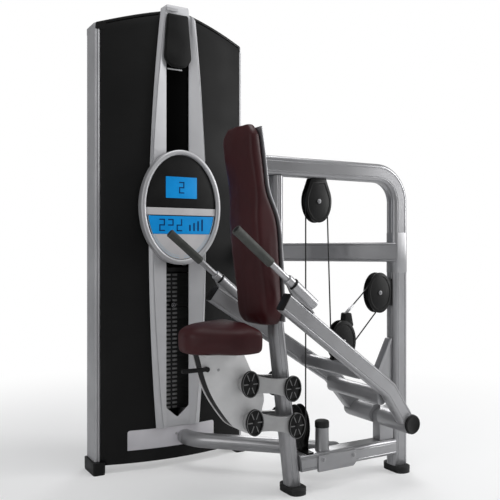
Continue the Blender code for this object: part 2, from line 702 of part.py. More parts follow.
def front_column():
    """Column that leans back to its knee behind the seat and then runs up to the top rail."""
    low = FOOT_HEIGHT + GAP
    high = TOP_TUBE_Z - UPRIGHT_HALF_X - GAP
    outline = [(COLUMN_FOOT_REAR_X, low), (COLUMN_KNEE_REAR_X, COLUMN_KNEE_Z), (COLUMN_KNEE_REAR_X, high),
               (COLUMN_KNEE_REAR_X - COLUMN_DEPTH, high),
               (COLUMN_KNEE_REAR_X - COLUMN_DEPTH, COLUMN_FRONT_KNEE_Z),
               (COLUMN_FOOT_REAR_X - COLUMN_FOOT_DEPTH, low)]
    column = plate("XZ", [outline], -TUBE_HALF_Y, TUBE_HALF_Y, 0.009, 2)
    bores = [drum((x, 0, z), (0, 1, 0), PIN_BORE, 0.1, 12)
             for x, z in (LINK_COLUMN_UPPER, LINK_COLUMN_LOWER)]
    add("front_column", cut(column, *bores), SILVER)


def column_rear_x(z):
    share = min(1.0, (z - FOOT_HEIGHT) / (COLUMN_KNEE_Z - FOOT_HEIGHT))
    return COLUMN_FOOT_REAR_X + (COLUMN_KNEE_REAR_X - COLUMN_FOOT_REAR_X) * share


def tie_bar():
    """Flat-sided bar that ties the upright to the tower's right post, high behind the back pad."""
    face = UPRIGHT_X - UPRIGHT_HALF_X - GAP
    post = TOWER_FRONT - 0.006 - GAP
    start = Vector((face, 0.0, TIE_BAR_Z))
    end = Vector((TOWER_RIGHT + 0.0015, post, TIE_BAR_Z))
    run = (end - start).normalized()
    bar = swept([tuple(start - run * 0.05), tuple(end + run * 0.05)], TIE_BAR_HALF, TIE_BAR_HALF_Z, 0.008,
                (0, 0, 1))
    at_upright = block((face, -0.3, 0.7), (face + 0.3, 0.3, 0.9))
    at_post = block((-0.3, post, 0.7), (0.5, post + 0.3, 0.9))
    add("tie_bar", cut(bar, at_upright, at_post), SILVER)


def base_rail():
    """The base rail, cut to the column's lean, with its bolted joint plate."""
    end = UPRIGHT_X - UPRIGHT_HALF_X - GAP
    rail = [(column_rear_x(RAIL_BOTTOM_Z) + GAP, RAIL_BOTTOM_Z), (end, RAIL_BOTTOM_Z), (end, RAIL_TOP_Z),
            (column_rear_x(RAIL_TOP_Z) + GAP, RAIL_TOP_Z)]
    rail = plate("XZ", [rail], -RAIL_HALF_Y, RAIL_HALF_Y, 0.008, 2)
    low = RAIL_BOTTOM_Z - 0.006
    joint = [(0.0775, low), (0.228, low), (0.240, low + 0.012), (0.240, RAIL_TOP_Z - 0.006),
             (0.0775, RAIL_TOP_Z - 0.006)]
    near = -RAIL_HALF_Y
    add("base_rail", joined(rail, plate("XZ", [joint], near - 0.0065, near + 0.004)), SILVER)


def connecting_tube():
    """Bent tube that ties the seat frame's rail to the tower's base beam."""
    z = 0.108
    start = (-0.192, TOWER_FRONT - TOWER_BULGE - GAP)
    corner = (-0.192, 0.400)
    end = (0.2228, 0.0014)
    along_first = Vector((0, -1))
    along_second = (Vector(end) - Vector(corner)).normalized()
    reach = 0.045
    curve = [Vector(corner) - along_first * reach, Vector(corner), Vector(corner) + along_second * reach]
    line = [start]
    for i in range(7):
        t = i / 6
        line.append(tuple(curve[0] * (1 - t) ** 2 + curve[1] * 2 * t * (1 - t) + curve[2] * t ** 2))
    line.append(end)
    tube = swept([(x, y, z) for x, y in line], 0.030, 0.026, 0.018, (0, 0, 1))
    face = block((-0.3, -0.3, 0.0), (0.5, RAIL_HALF_Y + GAP, 0.3))
    add("connecting_tube", cut(tube, face), SILVER)


def feet():
    """Long oval rubber feet under the column and the upright."""
    outline = rounded([(-FOOT_HALF_X, -FOOT_HALF_Y), (FOOT_HALF_X, -FOOT_HALF_Y), (FOOT_HALF_X, FOOT_HALF_Y),
                       (-FOOT_HALF_X, FOOT_HALF_Y)], 0.03, 5)
    for name, x in (("front_foot", 0.0), ("rear_foot", UPRIGHT_X)):
        shifted = [(x + u, v) for u, v in outline]
        add(name, plate("XY", [shifted], 0.0, FOOT_HEIGHT, 0.004), RUBBER)


def bump_stop():
    """Post on the rail whose rubber cap stops the lever's cross tube."""
    low = RAIL_TOP_Z + GAP
    cap_low = STOP_TOP_Z - 0.022
    post = drum((STOP_X, 0, (low + cap_low + 0.004) / 2), (0, 0, 1), STOP_RADIUS, cap_low + 0.004 - low, 32)
    cap = drum((STOP_X, 0, (cap_low + STOP_TOP_Z) / 2), (0, 0, 1), STOP_RADIUS + 0.001, STOP_TOP_Z - cap_low,
               32, 0.004)
    add("bump_stop", joined(post, cap), SILVER)


def lever_bracket():
    """Two cheeks on the rail and the upright, with the fixed axle through the lever's pivot tube."""
    face = UPRIGHT_X - UPRIGHT_HALF_X - GAP
    low = RAIL_TOP_Z + GAP
    outline = [(PIVOT_X - 0.018, low), (face, low), (face, PIVOT_Z + 0.030),
               (PIVOT_X + 0.012, PIVOT_Z + 0.024),
               (PIVOT_X - 0.018, PIVOT_Z + 0.006)]
    cheek = plate("XZ", [outline], -0.020, 0.020, 0.002, 1)
    axle = drum((PIVOT_X, 0, PIVOT_Z), (0, 1, 0), AXLE_RADIUS, 0.300, 24)
    add("lever_bracket", joined(cheek, axle), SILVER)


# Press lever

def arm_y(x):
    """Distance of an arm's centre from the seat's middle plane; the arms draw in towards the axle."""
    share = (x - ARM_FRONT[0]) / (PIVOT_X - ARM_FRONT[0])
    return ARM_FRONT_Y + (ARM_REAR_Y - ARM_FRONT_Y) * share


def offset_line(a, b, distance):
    direction = (Vector(b) - Vector(a)).normalized()
    normal = Vector((-direction.y, direction.x))
    return Vector(a) + normal * distance, Vector(b) + normal * distance


def meet(first, second):
    p, q = first
    r, s = second
    d = q - p
    e = s - r
    t = ((r.x - p.x) * e.y - (r.y - p.y) * e.x) / (d.x * e.y - d.y * e.x)
    return p + d * t


def arm_mesh(side):
    """A rectangular arm with a mitred knee, drawn from the side and then sheared towards the axle."""
    half = ARM_DEPTH / 2
    pivot = (PIVOT_X, PIVOT_Z)
    direction = (Vector(pivot) - Vector(ARM_KNEE)).normalized()
    end = tuple(Vector(pivot) - direction * (PIVOT_RADIUS * 0.80))
    upper = meet(offset_line(ARM_FRONT, ARM_KNEE, half), offset_line(ARM_KNEE, end, half))
    lower = meet(offset_line(ARM_FRONT, ARM_KNEE, -half), offset_line(ARM_KNEE, end, -half))
    outline = [offset_line(ARM_FRONT, ARM_KNEE, half)[0], upper, offset_line(ARM_KNEE, end, half)[1],
               offset_line(ARM_KNEE, end, -half)[1], lower, offset_line(ARM_FRONT, ARM_KNEE, -half)[0]]
    mesh = plate("XZ", [[tuple(p) for p in outline]], -ARM_WIDTH / 2, ARM_WIDTH / 2, 0.007, 2)
    for vert in mesh.vertices:
        vert.co.y += side * arm_y(vert.co.x)
    return mesh


def cross_tube(centre, half_x, half_z, corner):
    """A tube between the arms, its ends cut to the arms' slanted inner faces."""
    x, z = centre
    mesh = swept([(x, -0.1, z), (x, 0.1, z)], half_x, half_z, corner, (0, 0, 1))
    for vert in mesh.vertices:
        vert.co.y = math.copysign(arm_y(vert.co.x) - ARM_WIDTH / 2 - GAP, vert.co.y)
    return mesh


def lever():
    """Welded lever: two arms with their halves of the pivot tube, two cross tubes and the end caps."""
    for name, side in (("near_arm", -1), ("far_arm", 1)):
        inner = 0.0205
        profile = [(PIVOT_RADIUS, HUB_END), (PIVOT_RADIUS, inner), (AXLE_RADIUS + GAP, inner),
                   (AXLE_RADIUS + GAP, HUB_END - 0.014), (0.022, HUB_END - 0.014), (0.022, HUB_END)]
        hub = turned(profile, (PIVOT_X, 0, PIVOT_Z), (0, side, 0), 28)
        core = drum((PIVOT_X, 0, PIVOT_Z), (0, 1, 0), PIVOT_RADIUS - 0.004, 0.5, 28)
        add(name, joined(cut(arm_mesh(side), core), hub), SILVER, LEVER)
    upper = cross_tube(UPPER_TUBE, 0.018, 0.022, 0.010)
    reach = TANG_RADIUS + 0.0005
    clear = block((UPPER_TUBE[0] - reach, -0.0190, UPPER_TUBE[1] - reach),
                  (UPPER_TUBE[0] + 0.05, 0.0190, UPPER_TUBE[1] + 0.05))
    bore = drum((UPPER_TUBE[0], 0, UPPER_TUBE[1]), (0, 1, 0), TANG_PIN_RADIUS + GAP, 0.066, 12)
    add("lever_upper_tube", cut(upper, clear, bore), SILVER, LEVER)
    add("lever_lower_tube", cross_tube(LOWER_TUBE, 0.022, 0.028, 0.021), SILVER, LEVER)
    for name, side in (("near_pivot_cap", -1), ("far_pivot_cap", 1)):
        profile = [(0.0, HUB_END + 0.008), (PIVOT_RADIUS - 0.008, HUB_END + 0.008),
                   (PIVOT_RADIUS - 0.002, HUB_END + 0.0065), (PIVOT_RADIUS - 0.001, HUB_END + GAP),
                   (0.0, HUB_END + GAP)]
        add(name, turned(profile, (PIVOT_X, 0, PIVOT_Z), (0, side, 0), 28), PLASTIC, LEVER)


def handles():
    """A socket welded over each arm's end and the straight handle held in it."""
    tip = Vector(GRIP_TIP)
    rear = Vector(SOCKET_REAR)
    direction = (rear - tip).normalized()
    length = (rear - tip).length
    axis = (direction.x, 0, direction.y)
    for place, side in (("near", -1), ("far", 1)):
        y = side * ARM_FRONT_Y
        start = length - SOCKET_LENGTH
        profile = [(SOCKET_RADIUS, length), (SOCKET_RADIUS, start), (ROD_RADIUS + GAP, start),
                   (ROD_RADIUS + GAP, length)]
        socket = turned(profile, (tip.x, y, tip.y), axis, 20)
        arm_top = offset_line(ARM_FRONT, ARM_KNEE, ARM_DEPTH / 2 + GAP)
        arm_run = (arm_top[1] - arm_top[0]).normalized()
        foot_a = arm_top[0] + arm_run * 0.018
        foot_b = arm_top[0] + arm_run * 0.115
        under = Vector((direction.y, -direction.x)) * (SOCKET_RADIUS * 0.80)
        top_a = tip + direction * (start + 0.012) + under
        top_b = rear - direction * 0.006 + under
        web = plate("XZ", [[tuple(top_a), tuple(top_b), tuple(foot_b), tuple(foot_a)]], y - 0.006, y + 0.006)
        add(place + "_handle_socket", joined(socket, web), CHROME, LEVER)
        handle = [(0.0, length - 0.004), (ROD_RADIUS, length - 0.004), (ROD_RADIUS, GRIP_LENGTH),
                  (GRIP_RADIUS, GRIP_LENGTH), (GRIP_RADIUS, 0.006), (GRIP_RADIUS * 0.75, 0.001), (0.0, 0.0)]
        add(place + "_handle", turned(handle, (tip.x, y, tip.y), axis, 20), GRIP, LEVER)


# Pulleys and cable

def wheel(groove_radius, rim, half_width):
    """Profile of a grooved wheel with a bore."""
    floor = groove_radius - CABLE_RADIUS - 0.0015
    flat = CABLE_RADIUS + 0.0008
    return [(rim, half_width), (rim, half_width - 0.0015), (floor, flat), (floor, -flat),
            (rim, -half_width + 0.0015),
            (rim, -half_width), (BORE_RADIUS, -half_width), (BORE_RADIUS, half_width)]


def pulley(name, centre, axis, joint=None, groove=GROOVE_RADIUS, rim=WHEEL_RADIUS, steps=20):
    joint = joint or axis_empty(name + "_axis", centre)
    add(name, turned(wheel(groove, rim, WHEEL_HALF_WIDTH), centre, axis, steps), PLASTIC, joint)


def cover(centre, extra):
    """Two oval side plates on a shared axle, with what fixes them given as extra meshes."""
    x, z = centre
    inner = COVER_HALF_WIDTH - COVER_SHEET
    pieces = [plate("XZ", [ellipse(centre, COVER_HALF_X, COVER_HALF_Z, 24)], low, low + COVER_SHEET)
              for low in (-COVER_HALF_WIDTH, inner)]
    axle = drum((x, 0, z), (0, 1, 0), BORE_RADIUS - GAP, COVER_HALF_WIDTH * 2 + 0.004, 16)
    return joined(pieces[0], axle, pieces[1], *extra)


def seat_frame_pulleys():
    """The two fixed pulleys of the seat frame with their covers, and the low one behind the column."""
    x, z = UPPER_PULLEY
    neck = plate("XZ", [[(x - 0.024, z + 0.056), (x + 0.024, z + 0.056),
                         (x + 0.030, TOP_TUBE_Z - UPRIGHT_HALF_X - GAP),
                         (x - 0.030, TOP_TUBE_Z - UPRIGHT_HALF_X - GAP)]], -COVER_HALF_WIDTH + 0.001,
                 COVER_HALF_WIDTH - 0.001)
    add("upper_pulley_cover", cover(UPPER_PULLEY, [neck]), PLASTIC)
    pulley("upper_pulley", (x, 0, z), (0, -1, 0))
    x, z = REAR_PULLEY
    face = UPRIGHT_X - UPRIGHT_HALF_X - GAP
    arm = plate("XZ", [[(x + 0.0515, z - 0.045), (face, z - 0.050), (face, z + 0.050),
                        (x + 0.0515, z + 0.045)]],
                -COVER_HALF_WIDTH + 0.001, COVER_HALF_WIDTH - 0.001)
    bridge = [block((x + 0.030, low, z - 0.030), (x + 0.056, low + 0.003, z + 0.030))
              for low in (-COVER_HALF_WIDTH + 0.0005, COVER_HALF_WIDTH - 0.0035)]
    add("rear_pulley_cover", cover(REAR_PULLEY, [arm] + bridge), PLASTIC)
    pulley("rear_pulley", (x, 0, z), (0, -1, 0))
    y, z = LOWER_PULLEY_YZ
    base = RAIL_TOP_Z + GAP
    cheeks = []
    for side in (-1, 1):
        inner = LOWER_PULLEY_X + side * 0.0095
        outer = LOWER_PULLEY_X + side * 0.0125
        low, high = min(inner, outer), max(inner, outer)
        disc = ellipse((y, z), 0.054, 0.075, 24)
        cheeks.append(plate("YZ", [disc], low, high))
        cheeks.append(block((low + 0.0005, y - 0.045, base + 0.001), (high - 0.0005, y - 0.012, z - 0.030)))
    foot = block((LOWER_PULLEY_X - 0.0135, -RAIL_HALF_Y + 0.006, base),
                 (LOWER_PULLEY_X + 0.0135, RAIL_HALF_Y, base + 0.006))
    axle = drum((LOWER_PULLEY_X, y, z), (1, 0, 0), BORE_RADIUS - GAP, 0.025, 16)
    add("lower_pulley_cover", joined(foot, *cheeks, axle), PLASTIC)
    pulley("lower_pulley", (LOWER_PULLEY_X, y, z), (1, 0, 0))


def floating_block():
    """Oval pulley block hinged on the lever's upper tube, with a neck and an eye rod for the cable's end."""
    x, z = FLOAT_PULLEY
    inner = COVER_HALF_WIDTH - COVER_SHEET
    outline = rounded([(x + 0.004, z + 0.052), (x + 0.044, z + 0.052), (x + 0.034, z + 0.100),
                       (x + 0.010, z + 0.100)], 0.006, 2)
    neck = plate("XZ", [outline], -COVER_HALF_WIDTH + 0.001, COVER_HALF_WIDTH - 0.001)
    eye = Vector(UPPER_TUBE)
    run = (Vector(FLOAT_PULLEY) - eye).normalized()
    heading = math.degrees(math.atan2(run.y, run.x))
    round_end = arc(UPPER_TUBE, TANG_RADIUS, heading + 90, heading + 270, 6)
    inside = eye + run * 0.055
    across = Vector((-run.y, run.x)) * TANG_RADIUS
    strap = round_end + [tuple(inside - across), tuple(inside + across)]
    tangs = [plate("XZ", [strap], low, low + COVER_SHEET - 0.001)
             for low in (-COVER_HALF_WIDTH + 0.0005, inner + 0.0005)]
    pin = drum((UPPER_TUBE[0], 0, UPPER_TUBE[1]), (0, 1, 0), TANG_PIN_RADIUS, 0.062, 12)
    add("floating_block", cover(FLOAT_PULLEY, [neck, *tangs, pin]), PLASTIC, FLOAT)
    pulley("floating_pulley", (x, 0, z), (0, -1, 0), FLOAT_WHEEL)


def tower_pulleys():
    """Hidden wheels that lead the cable over the stack and out along the floor."""
    y, z = TOWER_PULLEY_YZ
    rim = TOWER_GROOVE_RADIUS + 0.004
    places = (("top_middle_pulley", (TOP_PULLEY_XS[0], STACK_Y, TOP_PULLEY_Z), (0, -1, 0)),
              ("top_side_pulley", (TOP_PULLEY_XS[1], STACK_Y, TOP_PULLEY_Z), (0, -1, 0)),
              ("tower_low_pulley", (TOWER_PULLEY_X, y, z), (1, 0, 0)))
    for name, centre, axis in places:
        pulley(name, centre, axis, None, TOWER_GROOVE_RADIUS, rim, 16)


def tangent(first, second):
    """The straight run between two circles, each a centre, radius and turn (1 anticlockwise, -1 clockwise)."""
    (c1, r1, s1), (c2, r2, s2) = first, second
    span = Vector(c2) - Vector(c1)
    heading = math.atan2(span.y, span.x) + math.asin((s1 * r1 - s2 * r2) / span.length)
    normal = Vector((math.sin(heading), -math.cos(heading)))
    return Vector(c1) + normal * s1 * r1, Vector(c2) + normal * s2 * r2


def wrap(circle, start, end, step=18.0):
    """Points round a circle from one tangent point to the next."""
    centre, radius, turn = circle
    a = math.degrees(math.atan2(start.y - centre[1], start.x - centre[0]))
    b = math.degrees(math.atan2(end.y - centre[1], end.x - centre[0]))
    sweep = (b - a) * turn % 360 * turn
    return [tuple(p) for p in arc(centre, radius, a, a + sweep, max(2, round(abs(sweep) / step)))]


def route(circles):
    """A flat route past circles; a circle of no radius is an end point."""
    points = [tangent(circles[0], circles[1])[0]]
    for i in range(1, len(circles) - 1):
        arrive = tangent(circles[i - 1], circles[i])[1]
        leave = tangent(circles[i], circles[i + 1])[0]
        points += wrap(circles[i], arrive, leave)
    points.append(tangent(circles[-2], circles[-1])[1])
    return [tuple(p) for p in points]


def lift_cable(stem_top):
    """One cable: stack head, over the top wheels, down and out along the floor, up behind the column, over
    the upper pulley, under the floating pulley, round the rear pulley and back to the block's neck."""
    r = TOWER_GROOVE_RADIUS
    over_stack = route([((SPINE_X, stem_top + GAP), 0.0, 1), ((SPINE_X + r, TOP_PULLEY_Z), r, -1),
                        ((TOWER_PULLEY_X - r, TOP_PULLEY_Z), r, -1), ((TOWER_PULLEY_X, 1.40), 0.0, 1)])
    y, z = TOWER_PULLEY_YZ
    along_floor = route([((STACK_Y, 1.40), 0.0, 1), ((y, z), r, -1), (LOWER_PULLEY_YZ, GROOVE_RADIUS, -1),
                         ((0.0, 0.30), 0.0, 1)])
    to_block = route([((LOWER_PULLEY_X, 0.30), 0.0, 1), (UPPER_PULLEY, GROOVE_RADIUS, -1),
                      (FLOAT_PULLEY, GROOVE_RADIUS, 1), (REAR_PULLEY, GROOVE_RADIUS, 1),
                      (FLOAT_HOOK, 0.0, 1)])
    points = [(x, STACK_Y, h) for x, h in over_stack]
    low_end = LOWER_PULLEY_YZ[0]
    for depth, h in along_floor[1:-1]:
        share = min(1.0, max(0.0, (y - depth) / (y - low_end)))
        share = 1.0 if depth <= low_end + 0.001 else (0.0 if depth >= y - 0.001 else share)
        points.append((TOWER_PULLEY_X + (LOWER_PULLEY_X - TOWER_PULLEY_X) * share, depth, h))
    points += [(x, 0.0, h) for x, h in to_block[1:]]
    curve = bpy.data.curves.new("lift_cable", "CURVE")
    curve.dimensions = "3D"
    curve.bevel_depth = CABLE_RADIUS
    curve.bevel_resolution = 2
    curve.use_fill_caps = True
    spline = curve.splines.new("POLY")
    spline.points.add(len(points) - 1)
    for point, place in zip(spline.points, points):
        point.co = (*place, 1.0)
    add("lift_cable", evaluated(bpy.data.objects.new("lift_cable", curve)), CABLE)


# Seat linkage

def link_outline(a, b):
    """Two round ends with a waist between them."""
    a = Vector(a)
    b = Vector(b)
    direction = (b - a).normalized()
    heading = math.degrees(math.atan2(direction.y, direction.x))
    middle = (a + b) / 2
    normal = Vector((-direction.y, direction.x)) * LINK_WAIST
    end_b = arc(tuple(b), LINK_END_RADIUS, heading - 110, heading + 110, 9)
    end_a = arc(tuple(a), LINK_END_RADIUS, heading + 70, heading + 290, 9)
    return end_b + [tuple(middle + normal)] + end_a + [tuple(middle - normal)]


def link_mesh(column_end, seat_end):
    """A casting with a cheek on each side of the column and the seat bracket, tied by a web between them."""
    cheeks = [plate("XZ", [link_outline(column_end, seat_end)], low, high)
              for low, high in ((-LINK_OUTER_Y, -LINK_INNER_Y), (LINK_INNER_Y, LINK_OUTER_Y))]
    middle = (Vector(column_end) + Vector(seat_end)) / 2
    web = block((middle.x, -LINK_INNER_Y - 0.002, middle.y - 0.012),
                (middle.x + 0.022, LINK_INNER_Y + 0.002, middle.y + 0.012))
    mesh = joined(cheeks[0], web, cheeks[1])
    bores = [drum((x, 0, z), (0, 1, 0), PIN_BORE, 0.3, 12) for x, z in (column_end, seat_end)]
    return cut(mesh, *bores)


def link_pin(name, centre, joint):
    """Pin with an oval cap on each end."""
    x, z = centre
    face = LINK_OUTER_Y + GAP
    caps = [plate("XZ", [ellipse(centre, CAP_HALF_X, CAP_HALF_Z, 24)], low, low + CAP_THICKNESS)
            for low in (-face - CAP_THICKNESS, face)]
    shaft = drum((x, 0, z), (0, 1, 0), PIN_RADIUS, face * 2 + 0.004, 12)
    add(name, joined(caps[0], shaft, caps[1]), PLASTIC, joint)


def seat_linkage():
    add("upper_link", link_mesh(LINK_COLUMN_UPPER, LINK_SEAT_UPPER), CAST, UPPER_LINK)
    add("lower_link", link_mesh(LINK_COLUMN_LOWER, LINK_SEAT_LOWER), CAST, LOWER_LINK)
    link_pin("upper_column_pin", LINK_COLUMN_UPPER, None)
    link_pin("lower_column_pin", LINK_COLUMN_LOWER, None)
    link_pin("upper_seat_pin", LINK_SEAT_UPPER, SEAT)
    link_pin("lower_seat_pin", LINK_SEAT_LOWER, SEAT)


def seat_bracket():
    """Curved fin plates with raised bosses at the pins, tied by a front web and the seat's mounting plate."""
    top = SEAT_BOTTOM_Z - GAP
    front = [(-0.370, top), (-0.364, 0.486), (-0.341, 0.407), (-0.310, 0.3425), (-0.259, 0.272),
             (-0.230, 0.248),
             (-0.195, 0.230)]
    rear = [(-0.160, 0.236), (-0.146, 0.262), (-0.140, 0.302), (-0.133, 0.340), (-0.150, 0.385),
            (-0.178, 0.425),
            (-0.204, 0.477), (-0.214, top)]
    pieces = []
    for low, high in ((-FIN_OUTER_Y, -FIN_INNER_Y), (FIN_INNER_Y, FIN_OUTER_Y)):
        pieces.append(plate("XZ", [front + rear], low, high))
    inner = [(x + 0.006, z) for x, z in reversed(front)]
    pieces.append(plate("XZ", [front + inner], -FIN_INNER_Y - 0.002, FIN_INNER_Y + 0.002))
    pieces.append(block((-0.360, -0.060, top - 0.006), (-0.216, 0.060, top)))
    mesh = joined(pieces[0], *pieces[2:], pieces[1])
    for x, z in (LINK_SEAT_UPPER, LINK_SEAT_LOWER):
        for side in (-1, 1):
            mesh = joined(mesh, drum((x, side * (FIN_INNER_Y + LINK_INNER_Y - GAP) / 2, z), (0, 1, 0), 0.030,
                                     LINK_INNER_Y - GAP - FIN_INNER_Y, 16))
    bores = [drum((x, 0, z), (0, 1, 0), PIN_BORE, 0.3, 12) for x, z in (LINK_SEAT_UPPER, LINK_SEAT_LOWER)]
    add("seat_bracket", cut(mesh, *bores), CAST, SEAT)


def release_lever():
    """Short lever under the seat's front edge that frees the height lock."""
    x, y, z = RELEASE_PIVOT
    hub = drum((x, y, z), (0, 1, 0), 0.008, 0.013, 20)
    bar = block((x - 0.085, y - 0.0055, z - 0.006), (x, y + 0.0055, z + 0.006), 0.002, 1)
    add("seat_release_lever", joined(hub, bar), PLASTIC, RELEASE)


# Pads

def seat_plan(inset):
    """Seat outline from above: a narrow nose, sides that flare and then run back."""
    front = SEAT_FRONT_X + inset
    rear = SEAT_REAR_X - inset
    half = SEAT_HALF_Y - inset
    nose = 0.040 - inset * 0.35
    shoulder = front + 0.140
    corners = [(front, -nose), (shoulder, -half), (rear, -half), (rear, half), (shoulder, half),
               (front, nose)]
    return rounded(corners, 0.028, 4)


def seat_pad():
    """Vinyl seat: crowned top, sides drawn in at the base seam."""
    levels = ((SEAT_BOTTOM_Z, 0.008), (SEAT_BOTTOM_Z + 0.008, 0.002), (SEAT_BOTTOM_Z + 0.028, 0.0),
              (SEAT_TOP_Z - 0.033, 0.001), (SEAT_TOP_Z - 0.021, 0.007), (SEAT_TOP_Z - 0.012, 0.020),
              (SEAT_TOP_Z - 0.005, 0.038), (SEAT_TOP_Z, 0.062))
    rings = [[(x, y, z) for x, y in seat_plan(inset)] for z, inset in levels]
    middle = (SEAT_FRONT_X + SEAT_REAR_X) / 2 + 0.02
    add("seat_pad", loft(rings, (middle, 0, SEAT_TOP_Z + 0.002), (middle, 0, SEAT_BOTTOM_Z)), MAROON, SEAT)


BACK_FRONT = ((0.577, -0.168), (0.600, -0.171), (0.830, -0.200), (0.920, -0.208), (0.985, -0.206),
              (1.040, -0.212),
              (1.140, -0.228), (1.222, -0.232))
BACK_REAR = ((0.577, -0.0985), (0.660, -0.0995), (0.756, -0.104), (0.880, -0.112), (0.930, -0.122),
             (1.006, -0.158),
             (1.120, -0.172), (1.222, -0.188))


def between(table, z):
    """Value at a height, on straight lines between (height, value) pairs."""
    for (z0, v0), (z1, v1) in zip(table, table[1:]):
        if z <= z1:
            t = max(0.0, (z - z0) / (z1 - z0))
            return v0 + (v1 - v0) * t
    return table[-1][1]


def backrest():
    """Tall vinyl back pad with an S bend, crowned in front, on a pressed back plate."""
    rows = 13
    z_low = BACK_FRONT[0][0]
    z_high = BACK_FRONT[-1][0]
    rings = []
    for r in range(rows + 1):
        t = r / rows
        z = z_low + (z_high - z_low) * t
        shrink = 1 - 0.22 * max(0.0, (0.06 - t) / 0.06) ** 2 - 0.30 * max(0.0, (t - 0.93) / 0.07) ** 2
        half = BACK_HALF_Y * shrink
        front = between(BACK_FRONT, z)
        rear = between(BACK_REAR, z)
        depth = (rear - front) * (0.45 + 0.55 * shrink)
        front = rear - depth
        corner = min(0.026, depth * 0.45)
        section = rounded([(rear, -half), (rear, half), (front + 0.006, half), (front, 0.0),
                           (front + 0.006, -half)],
                          corner, 3)
        rings.append([(x, y, z) for x, y in section])
    top_x = (between(BACK_FRONT, z_high) + between(BACK_REAR, z_high)) / 2
    low_x = (between(BACK_FRONT, z_low) + between(BACK_REAR, z_low)) / 2
    add("backrest_pad", loft(rings, (top_x, 0, z_high + 0.004), (low_x, 0, z_low - 0.002)), MAROON)
    chord = [(z_low + (z_high - z_low) * r / rows, between(BACK_REAR, z_low + (z_high - z_low) * r / rows))
             for r in range(rows + 1)]
    trim = 0.012
    zs = [z_low + trim] + [z for z, _ in chord[1:-1]] + [z_high - trim]
    outline = [(between(chord, z) + GAP * 3, z) for z in zs]
    outline += [(x + PLATE_THICKNESS, z) for x, z in reversed(outline)]
    add("backrest_plate", plate("XZ", [outline], -BACK_HALF_Y + 0.004, BACK_HALF_Y - 0.004), SILVER)


def build():
    tower_columns()
    tower_panels()
    tower_base()
    tower_top()
    spine()
    console()
    stack_frame()
    stem_top = weight_stack()
    main_frame_tube()
    front_column()
    tie_bar()
    base_rail()
    connecting_tube()
    feet()
    bump_stop()
    lever_bracket()
    lever()
    handles()
    seat_frame_pulleys()
    floating_block()
    tower_pulleys()
    lift_cable(stem_top)
    seat_linkage()
    seat_bracket()
    release_lever()
    seat_pad()
    backrest()


build()
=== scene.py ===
"""Looks of a seated press machine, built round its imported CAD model.

Sizes are in metres. Each piece is drawn in the maker's set-out, where X runs along the seat frame from the front foot
towards the rear upright and Y points at the tower, and is then moved to the frame's place.
"""
import math

import bmesh
import bpy
from mathutils import Matrix, Vector


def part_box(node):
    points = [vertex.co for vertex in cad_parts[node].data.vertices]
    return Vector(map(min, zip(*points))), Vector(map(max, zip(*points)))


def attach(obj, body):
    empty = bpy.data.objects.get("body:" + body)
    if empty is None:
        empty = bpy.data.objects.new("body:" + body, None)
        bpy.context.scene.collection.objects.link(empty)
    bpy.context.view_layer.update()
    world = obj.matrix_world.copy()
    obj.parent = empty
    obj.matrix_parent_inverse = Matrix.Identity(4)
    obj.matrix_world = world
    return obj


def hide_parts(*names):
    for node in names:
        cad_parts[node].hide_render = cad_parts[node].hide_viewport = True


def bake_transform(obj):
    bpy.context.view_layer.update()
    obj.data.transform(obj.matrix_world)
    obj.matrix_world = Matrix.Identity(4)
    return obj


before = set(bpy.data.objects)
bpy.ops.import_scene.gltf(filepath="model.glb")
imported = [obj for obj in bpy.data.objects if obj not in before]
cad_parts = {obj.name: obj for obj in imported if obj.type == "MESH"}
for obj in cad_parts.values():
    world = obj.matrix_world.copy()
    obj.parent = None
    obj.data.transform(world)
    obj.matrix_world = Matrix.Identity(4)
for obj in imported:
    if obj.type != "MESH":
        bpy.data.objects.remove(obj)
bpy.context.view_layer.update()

# Set-out. The front foot stands at X 0, Y 0 of the set-out, so its middle gives the way to the frame's own place.
foot_low, foot_high = (Vector(corner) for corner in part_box("front_foot"))
SET_OUT = Vector(((foot_low.x + foot_high.x) / 2, (foot_low.y + foot_high.y) / 2, 0.0))
CLEAR = 0.0003  # gap left between neighbouring parts


def placed(name, data):
    """A new object of the scene."""
    item = bpy.data.objects.new(name, data)
    bpy.context.scene.collection.objects.link(item)
    return item


# Camera. It stands at eye height in front of the machine's left, level, with a long normal lens and no shift, and
# sees the machine turned by thirty degrees.
EYE = Vector((-1.299, -1.943, 0.82))
VIEW_TURN = math.radians(-30.2)
LENS_MM, SENSOR_MM = 49.46, 36.0
camera_data = bpy.data.cameras.new("photo_camera")
camera_data.lens = LENS_MM
camera_data.sensor_width = SENSOR_MM
camera = placed("photo_camera", camera_data)
camera.location = EYE + SET_OUT
camera.rotation_euler = (math.radians(90), 0.0, VIEW_TURN)
bpy.context.scene.camera = camera
bpy.context.scene.view_settings.view_transform = "Standard"


def linear(colour):
    """Scene colour of a hex colour such as "7c7c7c"."""
    channels = [int(colour[i:i + 2], 16) / 255 for i in (0, 2, 4)]
    return tuple(c / 12.92 if c <= 0.04045 else ((c + 0.055) / 1.055) ** 2.4 for c in channels) + (1.0,)


def add_node(tree, kind, values=None, links=None, **settings):
    """A node with its socket values, and its incoming links given as socket: (node, output)."""
    node = tree.nodes.new(kind)
    for key, value in settings.items():
        setattr(node, key, value)
    for key, value in (values or {}).items():
        node.inputs[key].default_value = value
    for key, (source, output) in (links or {}).items():
        tree.links.new(source.outputs[output], node.inputs[key])
    return node


